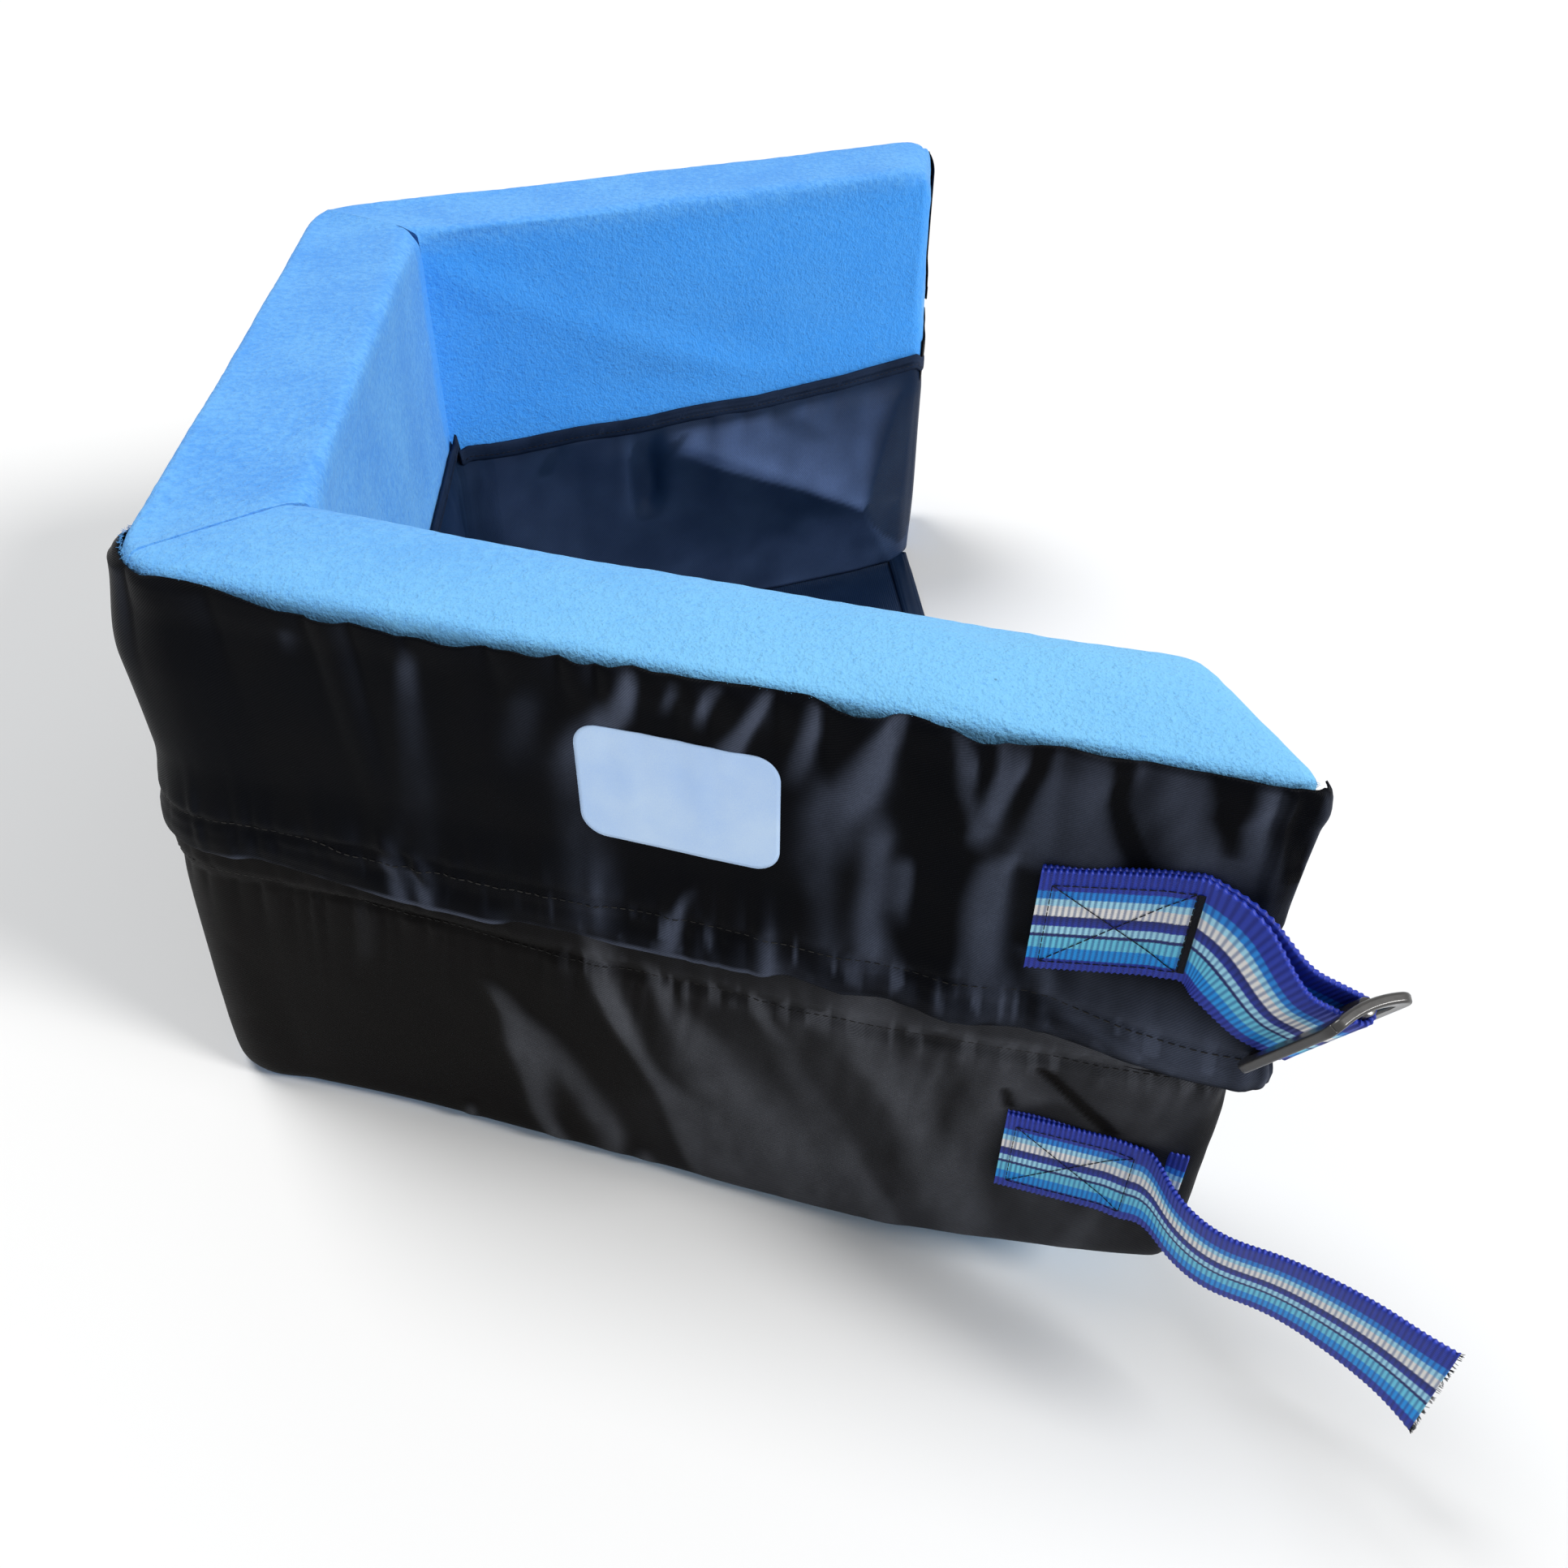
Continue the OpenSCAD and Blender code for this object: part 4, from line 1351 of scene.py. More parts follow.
@dataclass
class OuterShell:
    """Upper and lower nylon shells, their hems, stitches and the silver patch."""

    hem: float = 130.0
    hem_stitch: float = 142.5
    lower_stitch: float = 111.0
    top: float = 234.6
    flap_off: float = 3.8
    flat_off: float = 0.8
    step: float = 1.35
    wrap: float = 9.0
    lower_wrap: float = 6.0
    lower_top: float = 142.0
    folds: int = 34
    tape: float = 0.9
    sag: float = 9.0
    stand: float = 5.0
    patch_at: tuple[float, float] = (180.0, 190.0)
    drape: Noise = field(default_factory=lambda: Noise(21))
    small: Noise = field(default_factory=lambda: Noise(22))

    def __post_init__(self) -> None:
        """Sets out the gathers and folds."""
        marks = [68, 82, 100, 125, 147, 158, 168.5, 180, 190, 209, 222, 241, 256, 270, 285, 305, 321, 338]
        self.top_gathers = Gathers(5, (15, 34), (1.6, 4.4), (18, 52), 0.05, [-HALF - m for m in marks[::-1]])
        self.hem_gathers = Gathers(6, (4, 13), (0.1, 1.5), (4, 15))
        self.low_gathers = Gathers(7, (4, 13), (0.2, 1.8), (6, 24), -0.15)
        self.upper_folds, self.lower_folds = [], []
        rng = np.random.default_rng(31)
        for _ in range(self.folds):
            q = rng.uniform(-HALF + 30, END - 20)
            lean, size = rng.uniform(-26, 30), rng.uniform(1.0, 3.0)
            self.lower_folds.append(Fold((q, rng.uniform(80, 108)), (q + lean, rng.uniform(2, 30)),
                                         rng.uniform(5, 13), size * rng.choice([1, -0.6])))
            q = rng.uniform(-HALF + 30, END - 20)
            self.upper_folds.append(Fold((q, 234), (q + lean / 3, rng.uniform(150, 200)),
                                         rng.uniform(4, 9), size * rng.choice([0.8, -0.7])))

    def curl(self, q: Array) -> Array:
        """How far the hem's edge rolls outwards, from 0 to 1.

        Args:
            q: places along the wall, from its middle.

        Returns:
            One share for each place.
        """
        past = -q - HALF
        spans = [(8, 30), (58, 122), (140, 214), (262, 276)]
        front = sum(ease((past - a) / 22) * ease((b - past) / 9) for a, b in spans)
        rest = ease((Noise(44)(q / 48, q * 0) - 0.1) * 6) * ease((q + HALF) / 40)
        return np.clip(front + rest, 0, 1)

    def warp(self, q: Array, z: Array) -> Array:
        """Moves q sideways a little, so that no fold runs straight."""
        return q + 5.0 * self.drape(q / 34 + 2, z / 31) + 2.2 * self.small(q / 15, z / 17)

    def front(self, q: Array) -> Array:
        """1 on the front leg, falling to 0 round its corner."""
        return ease((-q - HALF + 4) / 16)

    def sheen(self, q: Array, z: Array, sheens: Sequence[Sheen]) -> Array:
        """Painted highlights and painted shade of the front leg's folds, also used as their heights.

        Args:
            q: places along the wall, from its middle.
            z: heights.
            sheens: table of the folds.

        Returns:
            One brightness for each point.
        """
        s = -q - HALF + 1.6 * self.drape(q / 21 + 4, z / 26) + 0.4 * self.small(q / 8, z / 15)
        levels = [fold.at(s, z) for fold in sheens]
        # Broad painted sheen, brighter towards the leg's end and lower down.
        plain = (mix(0.05, 0.17, ease((s - 230) / 60)) * ease((z - 112) / 6)
                 + mix(0, 0.31, ease((s - 90) / 150)) * ease((160 - z) / 50))
        bright = 1 - (1 - plain) * np.prod([1 - np.clip(1.2 * level, 0, 0.95) for level in levels], axis=0)
        mottle = 1 + 0.10 * self.small(q / 4 + 3, z / 9) + 0.16 * self.drape(q / 16, z / 30)
        # Negative levels paint shade into the creases.
        return (bright * mottle + sum(np.minimum(level, 0) for level in levels)) * self.front(q)

    def pucker_highlights(self, q: Array, z: Array, level: float) -> Array:
        """Painted highlights on short puckers along a row of stitches.

        Args:
            q: places along the wall, from its middle.
            z: heights.
            level: height of the row.

        Returns:
            One brightness for each point.
        """
        busy = 0.18 + 0.82 * ease((-q - HALF - 130) / 20)
        marks = ease((self.small(q / 2.3, z / 16 + level / 9) - 0.12) * 3) * busy
        return 0.5 * marks * hill(z - level, 6)

    def rim(self, q: Array) -> Array:
        """Height of the flap's edge above its mean.

        Args:
            q: places along the wall, from its middle.

        Returns:
            One height for each place.
        """
        knots = np.array([(0, -2), (28, 1), (60, -4), (118, -5), (124, -3), (142, -2.5), (215, 1), (231, -3),
                          (246, 1), (264, -3), (286, -1), (356, -1)]).T
        return mix(-1.3 * Noise(51)(q / 33, q * 0), np.interp(-q - HALF, *knots), self.front(q))

    def low_seam(self, q: Array) -> Array:
        """Height of the stitches along the lower shell, higher towards the front leg's corner."""
        return self.lower_stitch + 7 * (1 - ease((-q - HALF) / 150))

    def droop(self, q: Array, z: Array) -> Array:
        """How far the flap's lower edge sags and stands off at the front leg's end, from 0 to 1."""
        return ease((-q - HALF - 280) / 65) * (1 - ease((z - self.hem) / 60))

    def worn(self, q: Array, z: Array) -> Array:
        """Brighter nylon towards the straps and the legs' feet, partly wear from handling and partly painted
        sheen.

        Args:
            q: places along the wall, from its middle.
            z: heights.

        Returns:
            One brightness for each point.
        """
        patchy = 0.55 + 0.6 * self.drape(q / 24 + 11, z / 40 + q / 70) + 0.3 * self.small(q / 12, z / 24)
        low = 0.5 * ease((np.abs(q) - HALF) / 120) * ease((110 - z) / 60)
        return (0.55 * self.use(q) + 0.3 * low) * np.clip(patchy, 0, 1.3) * (1 - self.front(q))

    def use(self, q: Array) -> Array:
        """How much the cloth is handled, from 0 to 1 near the straps."""
        return ease((np.abs(q) - HALF - 110) / 150)

    def seam(self, q: Array) -> Array:
        """Height of the seam along the top, lower on the middle panel and the rear leg."""
        scallop = 0.7 * self.small(q / 7, q * 0 + 3) * ease(-(q + HALF) / 10)
        return self.top + scallop - 7.0 * ease((q + HALF - 12) / 30)

    def upper_off(self, q: Array, z: Array) -> Array:
        """Distance of the upper shell outside the cover.

        Args:
            q: places along the wall, from its middle.
            z: heights.

        Returns:
            One distance for each point.
        """
        base = mix(self.flap_off, self.flat_off, ease((z - 140) / 24))
        far = 1 - 0.85 * ease((q + HALF - 20) / 40) * ease((z - 175) / 30)
        far = far * (1 - 0.85 * ease((q - END + 40) / 30))
        base = base + 0.9 * self.front(q) * ease((z - 218) / 10)
        gathers = self.top_gathers.at(q, np.maximum(self.top - z, 0))
        near = np.abs(z - self.hem_stitch)
        fine = self.hem_gathers.at(q, near)
        pull = -0.7 * hill(near, 2.2)
        held = ease((self.top - z) / 12)
        broad = (1.3 + 2.2 * self.use(q)) * self.drape(q / 36 + 5, z / 60 - q / 90) * held
        bent = self.warp(q, z)
        folds = sum(f.at(bent, z) for f in self.upper_folds) * held
        folds = folds + 2.0 * self.sheen(q, z, UPPER_SHEENS) * held
        gathers, broad = gathers * (1 - 0.5 * self.front(q)), broad * (1 - 0.5 * self.front(q))
        flat = self.patch_calm(q, z)
        return np.maximum(base * 0.9, base + pull + (gathers + fine + broad + folds) * flat * far
                          + self.stand * self.droop(q, z))

    def patch_calm(self, q: Array, z: Array) -> Array:
        """Quiets the wrinkles under the stiff silver patch."""
        away = np.maximum(np.abs(-q - HALF - self.patch_at[0]) / 34, np.abs(z - self.patch_at[1]) / 25)
        return 0.25 + 0.75 * ease((away - 0.75) / 0.7)

    def lower_off(self, q: Array, z: Array) -> Array:
        """Distance of the lower shell outside the cover.

        Args:
            q: places along the wall, from its middle.
            z: heights.

        Returns:
            One distance for each point.
        """
        level = self.low_seam(q)
        near = np.abs(z - level)
        under = ease((z - level) / 3)
        gathers = self.low_gathers.at(q, np.maximum(level - z, 0)) * (1 - under)
        fine = self.low_gathers.at(q + 40, np.maximum(z - level, 0)) * 0.5 * under
        held = ease((level + 12 - z) / 30) * ease((z + 3) / 16)
        broad = (1.6 + 1.8 * self.use(q)) * self.drape(q / 42, z / 50 + 9 + q / 80)
        broad = broad + 0.5 * self.small(q / 21, z / 26)
        bent = self.warp(q, z)
        folds = sum(f.at(bent, z) for f in self.lower_folds)
        pull = -0.6 * hill(near, 2.0)
        tape = self.tape * under
        cover = 1.45 * ease((z - 114) / 5) * ease((131 - z) / 2)
        corner = 0.9 * hill(np.abs(q) - HALF, 30)
        folds = folds + 2.6 * self.sheen(q, z, LOWER_SHEENS)
        broad = broad * (1 - 0.5 * self.front(q))
        least = 0.55 + corner + 1.75 * ease(cover)
        return np.maximum(least, self.flat_off + tape + cover + pull + gathers + fine
                          + (broad + folds + 1.0) * held)

    def columns(self, wrap: float) -> Array:
        """Places along the shell, closer together on the front leg."""
        q = WALL.stations(WALL.cover_face, self.step, wrap)
        return q[(q < -HALF + 12) | (np.arange(len(q)) % 2 == 0)][::-1]

    def outer(self, q: Array, off: Array, z: Array) -> Array:
        """Point outside the cover, turned round a leg's end past the end.

        Args:
            q: places along the wall, from its middle.
            off: distances off the wall.
            z: heights.

        Returns:
            One row of x, y and z for each point.
        """
        over = np.maximum(np.abs(q) - END - off, 0)
        q = np.clip(q, -END - off, END + off)
        y = WALL.cover_face - off + over
        return WALL.place(WALL.squeeze(q, y), y, z)

    def hem_profile(self, row: Array, q: Array) -> tuple[Array, Array]:
        """Height and extra distance out along the flap, from inside the hem to the top.

        Args:
            row: distance along the cloth, 0 at the hem's fold.
            q: distance along the wall.

        Returns:
            Heights and distances outwards from the flap's inner ply.
        """
        roll = self.curl(q)
        radius = 1.0 + 1.0 * roll
        turn = np.clip((row + 4) / 8, 0, 1) * math.pi
        z = self.hem + self.rim(q) - radius * np.sin(turn) + np.maximum(row - 4, 0) - np.minimum(row + 4, 0)
        fade = ease((12 - np.abs(row)) / 8)
        out = -radius * np.cos(turn) * fade + 0.9 * roll * fade + (1 - fade) * np.sign(row)
        out = np.where(row > 0, out * (1 - ease((row - 9) / 4)), out)
        return z, out

    def upper(self) -> None:
        """The upper shell with its folded hem."""
        last = self.top - self.hem + 4
        rows = np.concatenate([np.arange(-12, -4, 2.0), np.linspace(-4, 4, 9),
                               np.arange(5.5, last, 1.7), [last]])
        columns = self.columns(self.wrap)
        heights = []

        def shape(q: Array, row: Array) -> Array:
            """Point of the sheet at a place along it and a row across it.

            Args:
                q: places along the wall, from its middle.
                row: number of the row across the sheet.

            Returns:
                One row of x, y and z for each point.
            """
            z, out = self.hem_profile(row, q)
            z = z - (self.top - self.seam(q)) * ease((row - 70) / 35)
            z = np.minimum(z, self.seam(q))
            off = self.upper_off(q, np.maximum(z, self.hem)) + out
            heights.append(off.reshape(len(rows), len(columns)))
            return self.outer(q, off, z - self.sag * self.droop(q, z))

        obj = sheet("upper_shell_cloth", columns, rows, shape)
        q, row = np.meshgrid(columns, rows)
        edge = ease((4.5 - np.abs(row - 1)) / 2)
        z = row + self.hem
        # Painted sheen, painted highlights on the puckers and painted fold light, with wear towards the straps.
        painted_sheen = (self.worn(q, z) + self.sheen(q, z, UPPER_SHEENS) + self.pucker_highlights(q, z, self.hem_stitch)
                 + painted_fold_light(heights[0], -columns) * (1 - 0.6 * self.front(q)))
        # Painted highlight along the rolled edge of the hem.
        lip_highlight = edge * self.front(q) * (0.18 + 0.12 * self.small(q / 4, row))
        painted_sheen_and_tone(obj, painted_sheen * ease((row - 3) / 3) + 0.6 * self.curl(q) * edge + lip_highlight)
        cut_cloth(obj, (columns, rows), SHELL_PLY, "shell_nylon", Finish.SHELL, "upper_shell",
                  held="gathered", rests_on=COVERS)

    def lower(self) -> None:
        """The lower shell."""
        rows = np.concatenate([np.arange(2.2, 10, 1.3), np.arange(10.5, self.lower_top, 1.8)])
        columns = self.columns(self.lower_wrap)
        heights = []

        def shape(q: Array, z: Array) -> Array:
            """Point of the cloth at a place along the wall and a height."""
            heights.append(self.lower_off(q, z).reshape(len(rows), len(columns)))
            return self.outer(q, heights[0].ravel(), z)

        obj = sheet("lower_shell_cloth", columns, rows, shape)
        q, z = np.meshgrid(columns, rows)
        # Painted sheen, painted highlights on the puckers and painted fold light, with wear towards the straps.
        painted_sheen_and_tone(obj, self.worn(q, z) * ease((112 - z) / 12) + self.sheen(q, z, LOWER_SHEENS)
               + self.pucker_highlights(q, z, self.low_seam(q)) + painted_fold_light(heights[0], -columns) * (1 - 0.75 * self.front(q)))
        cut_cloth(obj, (columns, rows), SHELL_PLY, "shell_nylon", Finish.LOWER_SHELL, "lower_shell",
                  held="gathered", rests_on=COVERS)

    def sew_row(self, stitcher: Stitcher, name: str, level: Callable[[Array], Array],
                off: Callable[[Array, Array], Array], sag: float) -> None:
        """Sews along the shell.

        Args:
            stitcher: makes the stitches.
            name: the piece's name.
            level: gives the row's height.
            off: gives the cloth's distance outside the cover.
            sag: how far the row hangs down where the flap droops.
        """
        wander = Noise(61)

        def shape(q: Array) -> Array:
            """Middle of a stitch."""
            z = level(q) + 1.3 * wander(q / 24, q * 0)
            return self.outer(q, off(q, z) + 0.12, z - sag * self.droop(q, z))

        def up(q: Array) -> Array:
            """Way off the cloth."""
            z = level(q)
            return self.outer(q, off(q, z) + 1, z) - self.outer(q, off(q, z), z)

        q = np.arange(-END + 1, END - 1, STITCH_PITCH)
        finish(stitcher.line(name, q, shape, up), "cushion", "shell_nylon", Finish.SEAM_THREAD)

    def fuzz(self, count: int = 2600) -> None:
        """Loose fleece fibres that lean over the top seam.

        Args:
            count: how many fibres.
        """
        rng = np.random.default_rng(87)
        q = rng.uniform(-END + 2, END - 2, count)
        z = self.seam(q) + rng.uniform(-0.6, 1.2, count)
        off = self.upper_off(q, z)
        places = self.outer(q, off * 0.6 + 0.2, z)
        out = self.outer(q, off + 1, z) - self.outer(q, off, z)
        along = self.outer(q + 0.5, off, z) - self.outer(q - 0.5, off, z)
        ways = (out * rng.uniform(0.1, 0.9, (count, 1)) + along * rng.uniform(-1, 1, (count, 1))
                + np.array([0, 0, 1]) * rng.uniform(-1.1, 0.9, (count, 1)))
        obj = Stitcher(2.1, 0.13, 3).sew("seam_fuzz", places, ways, out + along * 0.3 + np.array([0, 0, 0.2]))
        finish(obj, "cushion", "fleece", Finish.FLEECE)

    def edge_fibres(self, count: int = 700) -> None:
        """Dark fibres that stand off the front leg's end at its outer edge.

        Args:
            count: how many fibres.
        """
        rng = np.random.default_rng(89)
        z, y = rng.uniform(16, 116, count), rng.uniform(WALL.cover_face + 1, WALL.cover_face + 9, count)
        places = WALL.place(np.full(count, -END - 1.4), y, z)
        ways = WALL.place(np.full(count, -END - 2.4), y, z) - places + rng.uniform(-0.7, 0.7, (count, 3))
        obj = Stitcher(2.4, 0.22, 3).sew("edge_fibres", places, ways, np.tile([0.1, 0.2, 1.0], (count, 1)))
        finish(obj, "cushion", "shell_nylon", Finish.THREAD)

    def patch(self) -> None:
        """The plain silver patch, laid on the upper shell."""
        wide, high, radius, level = 62.0, 42.0, 8.0, self.patch_at[1]
        middle = -HALF - self.patch_at[0]
        columns, rows = np.linspace(-wide / 2, wide / 2, 49), np.linspace(-high / 2, high / 2, 35)

        def shape(x: Array, z: Array) -> Array:
            """Point of the patch at a place from its middle.

            Args:
                x: places along from its middle.
                z: places up from its middle.

            Returns:
                One row of x, y and z for each point.
            """
            x, z = WALL.plate(x, z, wide / 2, high / 2, radius)
            off = self.upper_off(middle + x, level + z) + 0.3
            return self.outer(middle + x, off, level + z)

        obj = sheet("silver_patch", columns[::-1], rows, shape)
        modify(obj, "SOLIDIFY", thickness=0.00035, offset=-1)
        finish(obj, "cushion", "reflective_film", Finish.FILM, "reflective_patch")

    def facing(self, side: int) -> None:
        """Nylon on the lower half of a leg's end.

        Args:
            side: -1 for the front leg, 1 for the rear one.
        """
        name = "front" if side < 0 else "rear"
        ripple = Noise(71 + side)

        def shape(y: Array, z: Array) -> Array:
            """Point of the facing at a depth and a height."""
            off = 0.8 + 0.5 * ripple(y / 12, z / 20)
            return WALL.place(side * (END + off), y, z)

        columns = np.linspace(WALL.cover_face + 1, WALL.thick - 1, 27)
        rows = np.arange(3, 129, 3.0)
        obj = sheet(f"{name}_end_cloth", columns[::side], rows, shape)
        cut_cloth(obj, (columns, rows), SHELL_PLY, "shell_nylon", Finish.SHELL, f"{name}_end_facing",
                  held="stretched", rests_on=[f"{name}_cover"])

    def build(self, stitcher: Stitcher) -> None:
        """Makes all pieces of the shell.

        Args:
            stitcher: the sewing for its rows of stitches.
        """
        self.upper()
        self.lower()
        self.sew_row(stitcher, "flap_stitches", lambda q: self.hem_stitch + 0.5 * self.rim(q),
                     self.upper_off, self.sag)
        self.sew_row(stitcher, "lower_shell_stitches", self.low_seam, self.lower_off, 0.0)
        self.fuzz()
        self.edge_fibres()
        self.patch()
        self.facing(-1)
        self.facing(1)
        for node in ("closure_hook_tape", "closure_loop_tape"):
            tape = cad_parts[node]
            tape.data.materials.clear()
            tape.data.materials.append(Finish.HOOK.material())


# ---- the lining

# Painted highlights and painted shade on the folds, creases and dent of the rear leg's liner.
LINER_SHEENS = tuple(Sheen(knots) for knots in (
    ((116, 188, 14, 80, .24), (104, 190, 10, 85, .32), (94, 204, 6, 75, .4), (80, 240, 6, 55, .4),
     (66, 277, 6, 28, .4), (55, 305, 5, 8, .4), (50, 311, 3, 3, .2)),
    ((118, 318, 8, 8, 0), (104, 318, 9, 8, .14), (90, 314, 9, 6, .14), (70, 314, 7, 4, .12),
     (55, 312, 4, 2, .1)),
    ((116, 60, 30, 75, .02), (95, 70, 40, 60, .1), (60, 90, 40, 70, .1), (0, 200, 60, 80, .05)),
    ((60, 290, 30, 20, 0), (40, 290, 34, 24, .08), (0, 300, 60, 26, .1)),
    ((117, 246, 8, 6, -.1), (108, 258, 9, 7, -.15), (98, 272, 9, 6, -.1), (92, 280, 8, 6, 0)),
    ((113, 148, 1.5, 4, -.2), (107, 146, 2, 10, -.5), (95, 147, 2.5, 11, -.5), (82, 148, 3, 10, -.5),
     (72, 151, 4, 7, -.4), (66, 153, 4, 5, 0)),
    ((116, 97, 3, 2, -.25), (108, 92, 4, 3, -.25), (104, 90, 4, 4, 0)),
    ((114, 180, 2, 3, -.2), (110, 172, 5, 5, -.22), (106, 166, 4, 4, -.15), (103, 162, 4, 4, 0)),
    ((102, 180, 10, 8, -.04), (94, 190, 12, 10, -.12), (80, 225, 18, 12, -.14), (66, 258, 22, 14, -.14),
     (54, 285, 20, 14, -.08), (46, 290, 14, 10, 0)),
    ((125, 362, 14, 60, -.3), (104, 358, 16, 60, -.4), (80, 350, 16, 60, -.4), (56, 342, 18, 60, -.4),
     (20, 372, 16, 60, -.4)),
    ((52, 314, 1.5, 5, -.4), (40, 322, 1.5, 6, -.5), (28, 332, 1.5, 6, -.5), (14, 344, 1.5, 6, -.5)),
))


@dataclass
class Lining:
    """Nylon liner on the lower half inside, its binding, and the floor."""

    top: float = 130.0
    binding_height: float = 8.5
    centre: float = 66.0
    off: float = 0.5
    hem_width: float = 12.0
    drape: Noise = field(default_factory=lambda: Noise(81))

    def __post_init__(self) -> None:
        """Sets out the gathers below the binding."""
        self.gathers = Gathers(8, (16, 46), (0.2, 2.2), (8, 26), 0.1)

    def level(self, q: Array) -> Array:
        """Height of the bound edge: it pokes up at the rear corner.

        Args:
            q: places along the wall, from its middle.

        Returns:
            One height for each place.
        """
        past = q - HALF
        poke = 7.0 * hill(past + 7, 5.0) - 3.0 * hill(past - 10, 9.0)
        front = 3.0 * hill(-q - HALF, 8.0)
        end = -5.0 * ease((np.abs(q) - END + 6) / 12)
        sag = np.interp(past, [0, 30, 60, 230, 290, 330, 350], [0, -3, -3.5, -3.2, -0.5, 2, 3])
        return self.top + poke + front + end + sag + 0.8 * self.drape(q / 40, q * 0)

    def slack(self, q: Array, z: Array) -> Array:
        """How far the liner hangs off the wall.

        Args:
            q: places along the wall, from its middle.
            z: heights.

        Returns:
            One distance for each point.
        """
        side = np.where(q < 0, -1, 1)
        s = np.abs(q) - HALF
        under = self.top - self.binding_height
        ridge_z = mix(105.0, 51.0, np.clip((s - 187) / 125, 0, 1)) + np.where(side < 0, 6, 0)
        crest = 312 + np.where(z > 51, 0.38 * (z - 51), 0.5 * (51 - z))
        rise = np.clip((s - 110) / (crest - 110), 0, 1)
        fall = np.clip((WALL.leg - 1 - s) / (WALL.leg - 1 - crest), 0, 1)
        peak = 19.0 * np.minimum(rise, fall) * np.where(s > 0, 1, 0)
        leg = peak * np.where(z > ridge_z, (under - z) / (under - ridge_z), (z + 25) / (ridge_z + 25))
        across = np.clip(1 - np.abs(q) / (HALF - 25), 0, 1)
        middle = 7.0 * ease(across * 2) * np.sin(np.pi * np.clip(z / under, 0, 1))
        dent = -4.5 * hill(s - 154, 9) * ease((z - 64) / 20) * np.where(side > 0, 1, 0)
        broad = 1.4 * self.drape(q / 42 + 3, z / 45) + 1.2
        gathers = self.gathers.at(q, np.maximum(under - z, 0))
        held = ease((under + 1 - z) / 14)
        return np.maximum(0.1, (np.maximum(leg, 0) + middle + broad + dent) * held + gathers)

    def sheen(self, q: Array, z: Array) -> Array:
        """Painted highlights and painted shade on the rear leg's liner folds, and an even level elsewhere.

        Args:
            q: places along the wall, from its middle.
            z: heights.

        Returns:
            One brightness for each point.
        """
        s = q - HALF + 3 * self.drape(q / 30 + 4, z / 28)
        levels = [fold.at(s, z) for fold in LINER_SHEENS]
        dull = np.prod([1 - 1.2 * np.maximum(level, 0) for level in levels], axis=0)
        # Painted highlights on the folds over a level that grows brighter towards the bottom; negative levels
        # paint shade.
        bright = 1 - mix(0.78, 0.88, ease((z - 25) / 35)) * dull
        mottle = 1 + 0.14 * self.drape(q / 14 + 5, z / 12)
        rear = ease((q - HALF - 20) / 20)
        return mix(0.14, bright * mottle + sum(np.minimum(level, 0) for level in levels), rear)

    def inner(self, q: Array, off: Array, z: Array) -> Array:
        """Point inside the wall, turned round a leg's end past the end.

        Args:
            q: places along the wall, from its middle.
            off: distances off the wall.
            z: heights.

        Returns:
            One row of x, y and z for each point.
        """
        over = np.maximum(np.abs(q) - END - off, 0)
        q = np.clip(q, -END - off, END + off)
        y = WALL.thick + off - over
        return WALL.place(WALL.squeeze(q, y), y, z, self.centre, False, False)

    def liner(self) -> None:
        """The liner's cloth."""
        rows = np.concatenate([[1.2], np.arange(3.5, self.top - 2, 2.5)])
        columns = WALL.stations(WALL.thick, 2.5, 8.0, self.centre)
        heights = []

        def shape(q: Array, z: Array) -> Array:
            """Point of the cloth at a place along the wall and a height.

            Args:
                q: places along the wall, from its middle.
                z: heights.

            Returns:
                One row of x, y and z for each point.
            """
            top = self.level(q) - 1.5
            height = z / (self.top - 2) * top
            off = self.off + self.slack(q, height)
            heights.append(off.reshape(len(rows), len(columns)))
            return self.inner(q, off, height)

        obj = sheet("liner_cloth", columns, rows, shape)
        q, z = np.meshgrid(columns, rows)
        loose = ease((275 - np.abs(q) + HALF) / 20)
        # Painted fold light on the loose cloth, plus the painted highlights and shade of its folds.
        painted_sheen_and_tone(obj, 0.25 * painted_fold_light(heights[0], columns) * loose + self.sheen(q, z))
        cut_cloth(obj, (columns, rows), LINER_PLY, "liner_nylon", Finish.LINER, "inner_liner",
                  held="gathered", rests_on=COVERS)

    def binding_section(self) -> tuple[Array, Array]:
        """Outline of the binding: distance off the wall and height under its top.

        Returns:
            The distances and the heights.
        """
        half = self.binding_height / 2
        a = np.linspace(0, 2 * math.pi, 17)
        return 1.15 * squared(np.cos(a), 0.8), half * squared(np.sin(a), 0.6) - half

    def bulge(self, q: Array) -> Array:
        """How far the binding stands off at the rear corner."""
        return 2.2 * hill(q - HALF + 4, 9)

    def binding(self) -> None:
        """The bound edge, folded over the liner."""
        out, drop = self.binding_section()
        ripple = Noise(91)

        def shape(q: Array, row: Array) -> Array:
            """Point of the sheet at a place along it and a row across it.

            Args:
                q: places along the wall, from its middle.
                row: number of the row across the sheet.

            Returns:
                One row of x, y and z for each point.
            """
            turn = np.clip(row, 0, 16).astype(int)
            lumps = 0.25 * ripple(q / 5, row) + 0.5 * ripple(q / 23, row * 0)
            off = 1.7 + self.bulge(q) + out[turn] * (1 + 0.12 * lumps)
            return self.inner(q, off, self.level(q) + drop[turn] + 0.4 * lumps)

        columns = WALL.stations(WALL.thick, 1.6, 9.0, self.centre)
        obj = sheet("binding_tape", columns, np.arange(17.0), shape, closed=True)
        finish(obj, "cushion", "binding", Finish.BINDING, "liner_binding")

